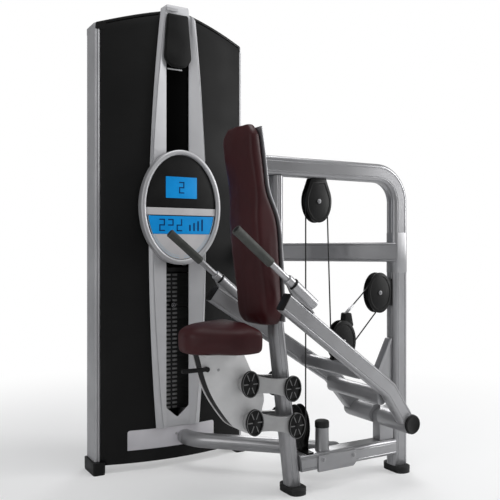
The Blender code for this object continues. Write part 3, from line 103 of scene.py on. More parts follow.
# Studio. A pale floor fades to the white of the backdrop a good way out. A broad lamp to the right of the camera is
# the main light, as the bright right-hand faces in the photograph show, with weaker ones at the left, overhead and
# behind.
FLOOR_RADIUS = 14.0
world = bpy.data.worlds.new("white_studio")
bpy.context.scene.world = world
world.use_nodes = True
tree = world.node_tree
tree.nodes.clear()
ray = add_node(tree, "ShaderNodeLightPath")
seen = add_node(tree, "ShaderNodeMath", links={0: (ray, "Is Camera Ray"), 1: (ray, "Is Transmission Ray")},
    operation="MAXIMUM")
dim = add_node(tree, "ShaderNodeBackground", {"Color": linear("f4f6fa"), "Strength": 0.29})
mirrored = add_node(tree, "ShaderNodeBackground", {"Color": linear("ffffff"), "Strength": 0.34})
white = add_node(tree, "ShaderNodeBackground", {"Color": linear("ffffff"), "Strength": 1.0})
reflected = add_node(tree, "ShaderNodeMixShader", links={0: (ray, "Is Glossy Ray"), 1: (dim, 0), 2: (mirrored, 0)})
shown = add_node(tree, "ShaderNodeMixShader", links={0: (seen, 0), 1: (reflected, 0), 2: (white, 0)})
add_node(tree, "ShaderNodeOutputWorld", links={"Surface": (shown, 0)})

floor_mesh = bpy.data.meshes.new("studio_floor")
work = bmesh.new()
bmesh.ops.create_circle(work, cap_ends=True, segments=96, radius=FLOOR_RADIUS)
work.to_mesh(floor_mesh)
work.free()
floor = placed("studio_floor", floor_mesh)
floor_look = bpy.data.materials.new("pale_floor")
floor_look.use_nodes = True
tree = floor_look.node_tree
tree.nodes["Principled BSDF"].inputs["Base Color"].default_value = linear("eeeeee")
tree.nodes["Principled BSDF"].inputs["Roughness"].default_value = 0.9
tree.nodes["Principled BSDF"].inputs["Specular IOR Level"].default_value = 0.1
place = add_node(tree, "ShaderNodeTexCoord")
distance = add_node(tree, "ShaderNodeVectorMath", links={0: (place, "Object")}, operation="LENGTH")
fade = add_node(tree, "ShaderNodeMapRange", {"From Min": 0.9, "From Max": 2.6, "To Min": 0.35, "To Max": 1.0},
    {"Value": (distance, "Value")}, interpolation_type="SMOOTHSTEP")
ray = add_node(tree, "ShaderNodeLightPath")
seen = add_node(tree, "ShaderNodeMath", links={0: (fade, "Result"), 1: (ray, "Is Camera Ray")}, operation="MULTIPLY")
white = add_node(tree, "ShaderNodeEmission", {"Color": linear("ffffff"), "Strength": 1.0})
mix = add_node(tree, "ShaderNodeMixShader", links={0: (seen, 0), 1: (tree.nodes["Principled BSDF"], 0),
    2: (white, 0)})
tree.links.new(mix.outputs[0], tree.nodes["Material Output"].inputs["Surface"])
floor_mesh.materials.append(floor_look)


def lamp(name, place, target, size, power):
    """A square soft lamp that points at a place on the machine."""
    data = bpy.data.lights.new(name, "AREA")
    data.shape = "RECTANGLE"
    data.size, data.size_y = size
    data.energy = power
    item = placed(name, data)
    item.location = Vector(place)
    item.rotation_euler = (Vector(target) - Vector(place)).to_track_quat("-Z", "Y").to_euler()


lamp("main_lamp", (3.4, -1.8, 1.9), (0.0, 0.0, 0.8), (1.3, 2.4), 92)
lamp("left_lamp", (-3.3, -1.5, 1.6), (0.0, 0.1, 0.9), (0.7, 2.2), 22)
lamp("top_lamp", (0.3, -0.4, 3.6), (0.0, 0.0, 0.8), (1.6, 1.6), 42)
lamp("rear_lamp", (1.6, 2.6, 2.2), (0.0, 0.2, 0.9), (1.2, 2.0), 34)


# Tower end posts. Extruded aluminium posts with a rounded outer corner and flutes down the front, screwed between the
# foot caps and the top cap. The front rib catches the light in one clean stripe.
TOWER_LEFT, TOWER_RIGHT = -0.529, 0.0865
TOWER_FRONT, TOWER_BACK = 0.511, 0.604
POST_WIDTH = 0.028
BEAM_TOP = 0.0775
POST_TOP = 1.628
FOOT_TOP = 0.045


def rounded(outline, radius, steps=6, closed=True):
    """The outline with its corners turned into short curves; radius is one value, or one a corner."""
    result = []
    count = len(outline)
    for i, corner in enumerate(outline):
        if not closed and i in (0, count - 1):
            result.append(tuple(corner))
            continue
        here = Vector(corner)
        before = Vector(outline[i - 1]) - here
        after = Vector(outline[(i + 1) % count]) - here
        size = radius[i] if isinstance(radius, (list, tuple)) else radius
        if size <= 0:
            result.append(tuple(corner))
            continue
        start = here + before.normalized() * min(size, before.length * 0.49)
        end = here + after.normalized() * min(size, after.length * 0.49)
        for k in range(steps + 1):
            t = k / steps
            result.append(tuple(start * (1 - t) ** 2 + here * 2 * t * (1 - t) + end * t ** 2))
    return result


def taken(item):
    """The mesh that an object comes to; the object itself is removed."""
    bpy.context.view_layer.update()
    result = bpy.data.meshes.new_from_object(item.evaluated_get(bpy.context.evaluated_depsgraph_get()))
    bpy.data.objects.remove(item, do_unlink=True)
    return result


def baked(mesh, *modifiers):
    """The mesh as modifiers leave it, each given as its type and its values."""
    item = placed("work", mesh)
    for kind, values in modifiers:
        modifier = item.modifiers.new(kind.title(), kind)
        for key, value in values.items():
            setattr(modifier, key, value)
    return taken(item)


def softened(mesh, width, segments=3, angle=30):
    """The mesh with its hard edges rounded."""
    return baked(mesh, ("BEVEL", {"width": width, "segments": segments, "limit_method": "ANGLE",
        "angle_limit": math.radians(angle), "harden_normals": False}))


def outward(mesh):
    """The same mesh, doubles merged and faces outwards."""
    work = bmesh.new()
    work.from_mesh(mesh)
    bmesh.ops.remove_doubles(work, verts=work.verts, dist=1e-6)
    bmesh.ops.recalc_face_normals(work, faces=work.faces)
    work.to_mesh(mesh)
    work.free()
    return mesh


TURN_UP = {"XY": Matrix.Identity(4), "XZ": Matrix.Rotation(math.radians(90), 4, "X"),
    "YZ": Matrix(((0, 0, 1, 0), (1, 0, 0, 0), (0, 1, 0, 0), (0, 0, 0, 1)))}


def corners(left, low, right, high):
    """A rectangle as an outline."""
    return [(left, low), (right, low), (right, high), (left, high)]


def slab(outline, low, high, bevel=0.0, segments=3, plane="XZ", hole=None):
    """A flat outline, less a hole, given thickness from low to high across its plane."""
    curve = bpy.data.curves.new("outline", "CURVE")
    curve.dimensions = "2D"
    curve.fill_mode = "BOTH"
    curve.extrude = (high - low) / 2
    for ring in (outline, hole) if hole else (outline,):
        spline = curve.splines.new("POLY")
        spline.points.add(len(ring) - 1)
        spline.use_cyclic_u = True
        for point, (u, v) in zip(spline.points, ring):
            point.co = (u, v, 0.0, 1.0)
    mesh = taken(placed("outline", curve))
    middle = (low + high) / 2
    shift = {"XY": (0, 0, middle), "XZ": (0, middle, 0), "YZ": (middle, 0, 0)}[plane]
    mesh.transform(Matrix.Translation(Vector(shift)) @ TURN_UP[plane])
    mesh = outward(mesh)
    return softened(mesh, bevel, segments) if bevel else mesh


def evenly(low, high, count):
    """Values from low to high in equal steps, both ends included."""
    return [low + (high - low) * i / count for i in range(count + 1)]


def skin(rings, closed_ends=True):
    """A closed skin through rings of equal count."""
    count = len(rings[0])
    faces = [(r * count + i, r * count + (i + 1) % count, (r + 1) * count + (i + 1) % count, (r + 1) * count + i)
        for r in range(len(rings) - 1) for i in range(count)]
    last = (len(rings) - 1) * count
    if closed_ends:
        faces += [tuple(range(count)), tuple(last + i for i in range(count))]
    mesh = bpy.data.meshes.new("skin")
    mesh.from_pydata([tuple(point) for ring in rings for point in ring], [], faces)
    return outward(mesh)


def merged(*meshes):
    """Several meshes in one, each keeping its own faces and material slots."""
    work = bmesh.new()
    for mesh in meshes:
        work.from_mesh(mesh)
    result = bpy.data.meshes.new("merged")
    work.to_mesh(result)
    work.free()
    return result


def painted(node, look):
    """A CAD node shown as it is, in this finish."""
    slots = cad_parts[node].data.materials
    slots.clear()
    slots.append(look)


def span(side, near, far):
    """Two distances on one side of the middle, the lower value first."""
    return sorted((side * near, side * far))


def piece(name, mesh, look, node=None, body="frame", angle=35):
    """One finished piece on its body: moved from the set-out, smooth but for its hard edges."""
    mesh.transform(Matrix.Translation(SET_OUT))
    mesh.name = name
    if look:
        mesh.materials.clear()
        mesh.materials.append(look)
    mesh.shade_smooth()
    mesh.set_sharp_from_angle(angle=math.radians(angle))
    item = placed(name, mesh)
    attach(item, body)
    for replaced in ([node] if isinstance(node, str) else node or []):
        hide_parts(replaced)
    return item


def finish(name, colour, roughness, metallic, drift, wear=None, grain=None, **values):
    """A material hung on the object's own coordinates. Its colour drifts between two shades, its roughness varies as
    where hands and cloths have been, and a fine grain gives it relief. drift, wear and grain each start with the
    scale of their noise."""
    material = bpy.data.materials.new(name)
    material.use_nodes = True
    tree = material.node_tree
    shader = tree.nodes["Principled BSDF"]
    values.update(Base_Color=colour, Roughness=roughness, Metallic=metallic)
    for key, value in values.items():
        shader.inputs[key.replace("_", " ")].default_value = linear(value) if isinstance(value, str) else value
    place = add_node(tree, "ShaderNodeTexCoord")

    def noise(scale, detail, stretch=(1.0, 1.0, 1.0)):
        turn = add_node(tree, "ShaderNodeMapping", {"Scale": stretch}, {"Vector": (place, "Object")})
        cloud = add_node(tree, "ShaderNodeTexNoise", {"Scale": scale, "Detail": detail}, {"Vector": (turn, "Vector")})
        return cloud, "Fac"

    scale, dark, light = drift
    ramp = add_node(tree, "ShaderNodeValToRGB", links={"Fac": noise(scale, 5.0)})
    for stop, position, shade in zip(ramp.color_ramp.elements, (0.32, 0.68), (dark, light)):
        stop.position, stop.color = position, linear(shade)
    tree.links.new(ramp.outputs["Color"], shader.inputs["Base Color"])
    if wear:
        scale, low, high = wear
        span = add_node(tree, "ShaderNodeMapRange", {"From Min": 0.3, "From Max": 0.7, "To Min": low,
            "To Max": high}, {"Value": noise(scale, 3.0)})
        tree.links.new(span.outputs["Result"], shader.inputs["Roughness"])
    if grain:
        scale, strength, depth, *stretch = grain
        bump = add_node(tree, "ShaderNodeBump", {"Strength": strength, "Distance": depth},
            {"Height": noise(scale, 2.0, *stretch)})
        tree.links.new(bump.outputs["Normal"], shader.inputs["Normal"])
    return material


ANODISED = finish("anodised_aluminium", "b0b0b2", 0.44, 0.35, (7.0, "aaaaac", "b8b8ba"), (9.0, 0.4, 0.5),
    (260.0, 0.25, 0.0003, (1.0, 1.0, 0.02)))


def post_outline(outer, inner):
    """Plan of a post: rounded outer corner, a groove beside it, then a broad rib up to the panel."""
    side = 1 if inner > outer else -1

    def x(distance):
        return outer + side * distance

    front = TOWER_FRONT - 0.004
    corner = rounded([(x(0.0), TOWER_FRONT + 0.03), (x(0.0), front), (x(0.0102), front)], 0.01, 6, closed=False)
    groove = [(x(0.0106), front + 0.0018), (x(0.0116), front + 0.0018)]
    rib = [(x(0.012), front - 0.0022), (x(0.014), front - 0.0026), (x(0.018), front - 0.001),
        (x(0.0206), front + 0.0004), (x(0.0208), front + 0.0085)]
    if side < 0:
        rib = [(x(0.012), front + 0.0085), (x(0.0272), front + 0.0085)]
    rear = [(x(POST_WIDTH), front + 0.009), (x(POST_WIDTH), TOWER_BACK - 0.001), (x(0.006), TOWER_BACK - 0.001),
        (x(0.0), TOWER_BACK - 0.006), (x(0.0), TOWER_BACK - 0.018), (x(0.0009), TOWER_BACK - 0.019),
        (x(0.0), TOWER_BACK - 0.02)]
    return corner + groove + rib + rear


for name, outer, inner in (("left", TOWER_LEFT, TOWER_LEFT + POST_WIDTH),
        ("right", TOWER_RIGHT, TOWER_RIGHT - POST_WIDTH)):
    post = slab(post_outline(outer, inner), FOOT_TOP + CLEAR, POST_TOP, plane="XY")
    wall = slab([(outer, POST_TOP - 0.001), (outer + (inner - outer) * 0.27, POST_TOP - 0.001),
        (outer + (inner - outer) * 0.27, 1.655), (outer, 1.6515)], TOWER_FRONT + 0.004, TOWER_BACK - 0.002, 0.0008)
    piece(name + "_post", merged(post, wall), ANODISED, f"tower_{name}_column")

# Tower panels. Two thin black moulded sheets bowed out to the spine, hung between posts, kick plate and top cap;
# their gloss is low, with faint orange peel. A flat sheet closes the back.
SPINE_X = -0.2225
TOWER_BULGE = 0.055
CORNER_TOP, ARC_TOP = 1.652, 1.733
KICK_TOP = 0.1515
KICK_LEFT, KICK_RIGHT = -0.414, -0.06
PANEL_LOW = 0.031
PANEL_SHEET = 0.004
LENS_HALF, LENS_Z = 0.118, 0.88
NARROWS_ABOVE, NARROWS_BELOW = 0.0668, 0.0557

SHROUD = finish("black_moulded_panel", "131313", 0.55, 0.0, (3.0, "111111", "181818"), (5.0, 0.5, 0.62),
    (420.0, 0.18, 0.0003), Specular_IOR_Level=0.14)


def front_y(x):
    """The tower's gently bowed front, seen in plan."""
    share = min(1.0, abs(x - SPINE_X) / ((TOWER_RIGHT - TOWER_LEFT) / 2))
    return TOWER_FRONT - TOWER_BULGE * (1 - share * share)


def top_z(x):
    """Height of the tower's top, which falls from the spine to both corners."""
    share = min(1.0, abs(x - SPINE_X) / ((TOWER_RIGHT - TOWER_LEFT) / 2))
    return CORNER_TOP + (ARC_TOP - CORNER_TOP) * (1 - share ** 1.15)


def lens_half(z):
    """Half width of the silver spine at a height; it narrows with the square of the way from its widest place."""
    return LENS_HALF - (NARROWS_ABOVE if z > LENS_Z else NARROWS_BELOW) * (z - LENS_Z) ** 2


def panel(x_outer, side, rows=60, columns=16):
    """A bowed sheet from the post to under the spine, with its lower corner cut away for the kick plate."""
    grid = []
    for r in range(rows + 1):
        share = r / rows
        z_guess = PANEL_LOW + (CORNER_TOP - PANEL_LOW) * share
        x_inner = SPINE_X + side * (lens_half(z_guess) - 0.012)
        line = []
        for c in range(columns + 1):
            x = x_outer + (x_inner - x_outer) * c / columns
            line.append((x, front_y(x), PANEL_LOW + (top_z(x) - 0.0145 - PANEL_LOW) * share))
        grid.append(line if side < 0 else line[::-1])
    mesh = bpy.data.meshes.new("panel")
    wide = columns + 1
    faces = [(r * wide + c, r * wide + c + 1, (r + 1) * wide + c + 1, (r + 1) * wide + c) for r in range(rows)
        for c in range(columns)]
    mesh.from_pydata([point for line in grid for point in line], [], faces)
    mesh = baked(mesh, ("SOLIDIFY", {"thickness": PANEL_SHEET, "offset": -1.0}))
    notch = slab(rounded(corners(KICK_LEFT, -0.1, KICK_RIGHT, KICK_TOP), 0.012), 0.3, 0.7)
    outer = TOWER_RIGHT if side > 0 else TOWER_LEFT
    reach = outer - side * 0.0363
    at_foot = slab(corners(outer, 0.0, reach, FOOT_TOP + CLEAR), 0.3, 0.7)
    return carved(carved(mesh, notch), at_foot)


def carved(mesh, tool, operation="DIFFERENCE"):
    """The mesh less a tool's solid, or what both share."""
    cutter = placed("cutter", tool)
    result = baked(mesh, ("BOOLEAN", {"object": cutter, "operation": operation, "solver": "EXACT"}))
    bpy.data.objects.remove(cutter, do_unlink=True)
    return result


for name, outer, side in (("left", TOWER_LEFT + 0.0212, -1), ("right", TOWER_RIGHT - 0.0098, 1)):
    sheet = softened(panel(outer, side), 0.0012, 2, 50)
    piece(name + "_panel", sheet, SHROUD, f"tower_{name}_panel")
painted("tower_back_panel", SHROUD)

# Tower base. A black moulded beam bows across the floor under the panels and ends in two rounded foot caps that the
# posts stand in. The pale kick plate above it is one pressed strip with a fixing seam and a screw.
BEAM_LOW = 0.029
FOOT_PROUD = 0.01
FOOT_INNER = 0.036

PLASTIC = finish("black_moulded_plastic", "101010", 0.48, 0.0, (12.0, "0e0e0e", "141414"), (22.0, 0.36, 0.5),
    (900.0, 0.35, 0.0003), Specular_IOR_Level=0.2)
KICK = finish("satin_kick_plate", "cfcdd1", 0.42, 0.15, (9.0, "c9c7cb", "d6d4d8"), None,
    (300.0, 0.2, 0.0003, (0.02, 1.0, 1.0)))


def bowed_strip(x_low, x_high, z_low, z_high, depth, setback, bevel, corner=0.0, count=40):
    """A strip that follows the tower's front; the upper corners may be rounded."""
    outline = [(x, front_y(x) + setback) for x in evenly(x_low, x_high, count)]
    back = [(x, y + depth) for x, y in reversed(outline)]
    mesh = slab(outline + back, z_low, z_high, plane="XY")
    if corner:
        keep = rounded(corners(x_low, z_low - 0.01, x_high, z_high), [0, 0, corner, corner])
        mesh = carved(mesh, slab(keep, 0.3, 0.8), "INTERSECT")
    return softened(mesh, bevel, 3, 50)


def foot_cap(x, side):
    """A moulded shoe with rounded upright corners, a soft top edge and a small lip at the floor."""
    low, high = sorted((x + side * FOOT_PROUD, x - side * FOOT_INNER))
    front, back = TOWER_FRONT - 0.026, TOWER_BACK + 0.002
    shoe = slab(rounded(corners(low, front, high, back), 0.012), 0.006, FOOT_TOP, 0.004, plane="XY")
    lip = slab(rounded(corners(low + 0.001, front + 0.001, high - 0.001, back - 0.001), 0.012), 0.0, 0.0055,
        0.0015, plane="XY")
    return merged(shoe, lip)


kick = bowed_strip(KICK_LEFT + CLEAR, KICK_RIGHT - CLEAR, BEAM_TOP + CLEAR, KICK_TOP - CLEAR, 0.003, 0.0,
    0.0008, 0.011)
seam_x = SPINE_X - 0.0149
seam = slab(corners(seam_x - 0.0006, 0.0, seam_x + 0.0006, 0.3), 0.3, front_y(seam_x) + 0.0012)
piece("kick_strip", carved(kick, seam), KICK, "kick_plate")
beam = bowed_strip(TOWER_LEFT + POST_WIDTH + CLEAR, TOWER_RIGHT - POST_WIDTH - CLEAR, BEAM_LOW,
    BEAM_TOP - 0.0004, 0.045, 0.0065, 0.003)
piece("base_beam", merged(beam, foot_cap(TOWER_LEFT, -1), foot_cap(TOWER_RIGHT, 1)), PLASTIC,
    "tower_base")

# Tower top cap. One black moulding that closes the top in a low gable, with a corner block over each post.


def top_cap():
    """The moulding as one skin of rings, with the notch that the spine stands in."""
    rings = []
    for x in evenly(TOWER_LEFT + 0.0079, TOWER_RIGHT - 0.0079, 96):
        at_post = x < TOWER_LEFT + 0.037 or x > TOWER_RIGHT - 0.012
        top = top_z(x)
        drop = top - POST_TOP - 0.0004 if at_post else 0.0108
        front = front_y(x) - (0.0015 if at_post else 0.0008)
        ring = rounded([(front, top - drop), (front, top), (TOWER_BACK, top), (TOWER_BACK, top - drop)],
            [0.001, 0.006, 0.006, 0.001], 5)
        rings.append([(x, y, z) for y, z in ring])
    return carved(skin(rings), slab(corners(SPINE_X - 0.082, 1.5, SPINE_X + 0.082, 1.9), 0.3, 0.4583))


piece("top_moulding", softened(top_cap(), 0.0015, 2, 50), PLASTIC, "tower_top_cap")

# Tower spine. The silver spine is a long faceted moulding: a narrow strip turns outwards along each edge, a fine dark
# joint runs beside it, and a broad facet leans in to the slot that shows the weights. It clips over both panels.
SPINE_TOP = 1.747
BEZEL_FRONT, BEZEL_BACK = 0.442, 0.458
WINDOW_HALF = 0.047
WINDOW_BOTTOM, WINDOW_TOP = 0.185, 1.56

SPINE_SILVER = finish("silver_spine_paint", "bfbfc1", 0.46, 0.15, (6.0, "b9b9bb", "c6c6c8"), (8.0, 0.42, 0.54),
    (700.0, 0.12, 0.0002))
# An opaque, matte, near-black finish for the pane in the slot: painted shade standing for the dark inside of the
# tower.
SHADE_SHEET = finish("painted_shade_sheet", "010101", 0.6, 0.0, (4.0, "000000", "020202"),
    (14.0, 0.44, 0.56), Specular_IOR_Level=0.02)


def spine_section(z):
    """Front of the spine in plan, from its left edge to its right edge, then back behind it. The edge strip is
    narrow beside the console and widens towards both ends."""
    half = lens_half(z)
    joint = half - 0.0045 - 0.017 * abs(z - 1.15) ** 1.2
    flank = [(half, 0.4548), (half - 0.0012, 0.4536), (joint + 0.001, 0.4442), (joint, 0.4436),
        (joint - 0.0006, 0.4462), (joint - 0.0026, 0.4462), (joint - 0.0031, 0.4428), (joint - 0.0044, 0.4424),
        (WINDOW_HALF + 0.0035, 0.4522), (WINDOW_HALF - 0.003, 0.4532)]
    centre = SPINE_X + 0.0025
    left = [(centre - u, y) for u, y in flank]
    right = [(centre + u, y) for u, y in reversed(flank)]
    return [(centre - half, BEZEL_BACK)] + left + right + [(centre + half, BEZEL_BACK)]


spine_low = KICK_TOP + 0.001
rows = [[(x, y, z) for x, y in spine_section(z)] for z in evenly(spine_low, SPINE_TOP, 64)]
slot = [(SPINE_X, WINDOW_BOTTOM), (SPINE_X + WINDOW_HALF, WINDOW_BOTTOM + 0.04),
    (SPINE_X + WINDOW_HALF, WINDOW_TOP), (SPINE_X - WINDOW_HALF, WINDOW_TOP),
    (SPINE_X - WINDOW_HALF, WINDOW_BOTTOM + 0.04)]
spine = carved(skin(rows), slab(rounded(slot, 0.006), 0.4, 0.5))
left_edge, right_edge = SPINE_X - 0.068, SPINE_X + 0.073
shoulders = ([(left_edge - 0.006, 1.7235), (left_edge + 0.026, SPINE_TOP), (left_edge + 0.026, 1.76),
    (left_edge - 0.006, 1.76)], [(right_edge + 0.006, 1.7), (right_edge - 0.01, 1.7095),
    (right_edge - 0.022, 1.714), (right_edge - 0.0265, 1.72), (right_edge - 0.0275, 1.742),
    (right_edge - 0.032, 1.7475), (right_edge - 0.032, 1.76), (right_edge + 0.006, 1.76)])
for shoulder in shoulders:
    spine = carved(spine, slab(shoulder, 0.4, 0.5))
piece("spine_moulding", softened(spine, 0.0007, 2, 28), SPINE_SILVER, "spine_bezel", angle=24)

middle = SPINE_X - 0.0065
cover = [(middle - 0.043, 1.709), (middle + 0.042, 1.709), (middle + 0.056, 1.542), (middle + 0.033, 1.51),
    (middle - 0.033, 1.51), (middle - 0.056, 1.54)]
cover = rounded(cover, [0.008, 0.008, 0.012, 0.016, 0.016, 0.012])
inner = [(middle + (x - middle) * 0.9, 1.612 + (z - 1.612) * 0.95) for x, z in cover]
shield = merged(slab(cover, BEZEL_FRONT - 0.006, BEZEL_FRONT - CLEAR, 0.002),
    slab(inner, BEZEL_FRONT - 0.0085, BEZEL_FRONT - 0.0055, 0.0015))
piece("spine_shield", shield, PLASTIC, "spine_cover")
inset = slab(rounded([(-0.272, 1.7215), (-0.226, 1.7205), (-0.226, 1.733), (-0.272, 1.733)], 0.002),
    BEZEL_FRONT - 0.0006, BEZEL_FRONT + 0.006, 0.0006)
piece("top_inset", inset, ANODISED)
light_bar = slab(rounded(corners(SPINE_X - 0.041, 1.5035, SPINE_X + 0.02, 1.5085), 0.002), 0.4565, 0.458, 0.0005)
piece("window_bar", light_bar, SPINE_SILVER)
# An opaque dark pane over the slot above the stack: painted shade for the dark inside of the tower behind it.
half = WINDOW_HALF + 0.006
window = slab(rounded(corners(SPINE_X - half, 0.77, SPINE_X + half, WINDOW_TOP + 0.01), 0.004),
    BEZEL_BACK + CLEAR, BEZEL_BACK + 0.003, 0.0004)
piece("smoked_pane", window, SHADE_SHEET, "spine_window")

# Console. An oval silver ring frames a black upper face with a small blue display, and below it a bare pale strip, a
# broad blue display and a pale lower segment printed with fine edge lines. The displays show plain digits and bars.
CONSOLE_Z = 0.98
CONSOLE_HALF_X, CONSOLE_HALF_Z = 0.163, 0.216
CONSOLE_FRONT = 0.409
RING_WIDTH = 0.02
FACE_Y = CONSOLE_FRONT + 0.0085
UPPER_FACE_Z, STRIP_LOW_Z, STRIP_HIGH_Z = 0.978, 0.9505, 0.9772
DISPLAY_LOW_Z, DISPLAY_HIGH_Z, SEGMENT_TOP_Z = 0.88, 0.9468, 0.8795
PRINT_TOP_Z = 0.95
SMALL_DISPLAY = (-0.2865, 1.014, -0.1595, 1.094)

RING = finish("brushed_console_ring", "b8b8ba", 0.42, 0.55, (8.0, "b2b2b4", "bebec0"), (18.0, 0.38, 0.48),
    (500.0, 0.15, 0.0002, (0.1, 1.0, 1.0)))
DISPLAY = finish("blue_display_glass", "0880c4", 0.35, 0.0, (16.0, "077abd", "0d87cb"),
    (30.0, 0.3, 0.42), Emission_Strength=0.22, Specular_IOR_Level=0.25, Emission_Color="0a93de")
DIGIT = finish("display_digits", "092f66", 0.4, 0.0, (40.0, "082a5d", "0a3570"), (60.0, 0.3, 0.42),
    Specular_IOR_Level=0.25)
PALE = finish("pale_console_print", "c9c7c8", 0.45, 0.0, (14.0, "c3c1c2", "cfcdce"), (20.0, 0.4, 0.52))
PRINT = finish("light_blue_print", "a9c4d6", 0.45, 0.0, (20.0, "a2bed1", "b2cbdc"), (20.0, 0.4, 0.52))


def oval(centre, half_u, half_v, start=0.0, end=360.0, count=96):
    """Points on an oval; the last is left out when it closes on the first."""
    turns = [math.radians(turn) for turn in evenly(start, end, count)]
    if end - start == 360.0:
        turns.pop()
    return [(centre[0] + half_u * math.cos(t), centre[1] + half_v * math.sin(t)) for t in turns]


centre = (SPINE_X, CONSOLE_Z)
section = [(0.0, 0.0325), (0.0, 0.008), (0.001, 0.0036), (0.0036, 0.0009), (0.01, 0.0), (0.016, 0.0008),
    (0.0186, 0.0032), (0.0196, 0.0085), (RING_WIDTH, 0.0325)]
rings = [[(SPINE_X + (CONSOLE_HALF_X - u) * math.cos(turn), CONSOLE_FRONT + y,
    CONSOLE_Z + (CONSOLE_HALF_Z - u) * math.sin(turn)) for u, y in section]
    for turn in (2 * math.pi * step / 96 for step in range(96))]
housing = slab(oval(centre, CONSOLE_HALF_X - 0.016, CONSOLE_HALF_Z - 0.016), FACE_Y + 0.002, BEZEL_FRONT - 0.003)
piece("console_ring", skin(rings + [rings[0]], False), RING, "console_housing", angle=50)
piece("console_back", housing, PLASTIC)


def face_part(z_low, z_high, inset=RING_WIDTH + 0.001, narrow=0.0):
    """The part of the console's oval face between two heights."""
    half_u, half_v = CONSOLE_HALF_X - inset, CONSOLE_HALF_Z - inset
    outline = []
    for z in evenly(z_low, z_high, 24):
        share = max(0.0, 1.0 - ((z - CONSOLE_Z) / half_v) ** 2)
        outline.append((half_u * math.sqrt(share) - narrow, z))
    return [(SPINE_X + u, z) for u, z in outline] + [(SPINE_X - u, z) for u, z in reversed(outline)]


top = CONSOLE_Z + CONSOLE_HALF_Z - RING_WIDTH - 0.0012
low = CONSOLE_Z - CONSOLE_HALF_Z + RING_WIDTH + 0.0012
piece("console_upper_face", slab(face_part(UPPER_FACE_Z, top), FACE_Y, FACE_Y + 0.003, 0.0006), PLASTIC)
strip = slab(face_part(STRIP_LOW_Z, STRIP_HIGH_Z), FACE_Y - 0.0004, FACE_Y + 0.003, 0.0005)
segment = slab(face_part(low, SEGMENT_TOP_Z), FACE_Y, FACE_Y + 0.003, 0.0005)
piece("console_pale_face", merged(strip, segment), PALE)
bands = []
for inset, width in ((0.0245, 0.002), (0.0325, 0.0012)):
    outer = face_part(CONSOLE_Z - CONSOLE_HALF_Z + inset + 0.0005, PRINT_TOP_Z, inset)
    inner = face_part(CONSOLE_Z - CONSOLE_HALF_Z + inset + width + 0.0005, PRINT_TOP_Z + 0.0001,
        inset + width)
    bands.append(slab(outer[:25][::-1] + inner[:25], FACE_Y - 0.0007, FACE_Y - 0.0001))
    bands.append(slab(outer[25:] + inner[25:][::-1], FACE_Y - 0.0007, FACE_Y - 0.0001))
piece("console_edge_lines", merged(*bands), PRINT)


def digit(x, z, tall, bars):
    """Seven-bar digit at its lower left corner; bars lists the ones that are lit."""
    wide, thick = tall * 0.5, tall * 0.11
    right, middle, half = x + wide - thick, z + tall / 2, tall / 2
    places = {"top": (x, z + tall - thick, wide, thick), "middle": (x, z + tall / 2 - thick / 2, wide, thick),
        "bottom": (x, z, wide, thick), "upper_left": (x, middle, thick, half),
        "upper_right": (right, middle, thick, half), "lower_left": (x, z, thick, half),
        "lower_right": (right, z, thick, half)}
    parts = []
    for u, v, w, h in (places[bar] for bar in bars):
        outline = corners(u + 0.0004, v + 0.0004, u + w - 0.0004, v + h - 0.0004)
        parts.append(slab(rounded(outline, 0.0004, 2), FACE_Y - 0.0016, FACE_Y - 0.001))
    return parts


upper_display = slab(rounded(corners(*SMALL_DISPLAY), 0.002), FACE_Y - 0.001, FACE_Y + 0.001, 0.0003)
lower_display = slab(face_part(DISPLAY_LOW_Z, DISPLAY_HIGH_Z, 0.021, 0.0075), FACE_Y - 0.001, FACE_Y + 0.001,
    0.0003)
piece("console_displays", merged(upper_display, lower_display), DISPLAY, "display_panel")
two = ("top", "upper_right", "middle", "lower_left", "bottom")
digits = digit(-0.2335, 1.032, 0.044, two)
for i, x in enumerate((-0.3135, -0.2785, -0.2435)):
    digits += digit(x, 0.89, 0.046, (two, two[:3], two[1:])[i])
for i in range(4):
    x = -0.1915 + i * 0.017
    digits.append(slab(corners(x, 0.892, x + 0.006, 0.915 + 0.007 * i), FACE_Y - 0.0016, FACE_Y - 0.001))
piece("console_digits", merged(*digits), DIGIT)

# Weight stack. Cast iron plates, each with a lighter painted lug either side of the middle groove. Twenty-four stay
# down and eight rise with the head, which the push-in pin picks out. The rods, tray and pulleys behind them are
# hidden.
STACK_Y = 0.55
STACK_HALF_Y = 0.04
STACK_BASE_Z = 0.205
PLATE_PITCH = 0.0165
IDLE_PLATES, SELECTED_PLATES = 24, 8
IDLE_TOP = STACK_BASE_Z + IDLE_PLATES * PLATE_PITCH

IRON = finish("black_cast_iron", "262626", 0.48, 0.35, (30.0, "202020", "2e2e2e"), (40.0, 0.42, 0.56),
    (600.0, 0.5, 0.0004))
LUG = finish("worn_plate_lugs", "8d8d8d", 0.4, 0.6, (60.0, "7e7e7e", "9c9c9c"), None, (500.0, 0.3, 0.0003))
CHROME = finish("satin_chromed_steel", "aeaeb0", 0.36, 0.6, (10.0, "a6a6a8", "b6b6b8"), (30.0, 0.32, 0.42))
RUBBER = finish("black_rubber", "151515", 0.72, 0.0, (30.0, "111111", "1b1b1b"), (40.0, 0.64, 0.8),
    (800.0, 0.5, 0.0004))

for node in ("top_middle_pulley", "top_side_pulley", "tower_low_pulley"):
    painted(node, PLASTIC)
for node in ("idle_plates", "selected_plates", "stack_head"):
    painted(node, IRON)
painted("stack_frame", CHROME)

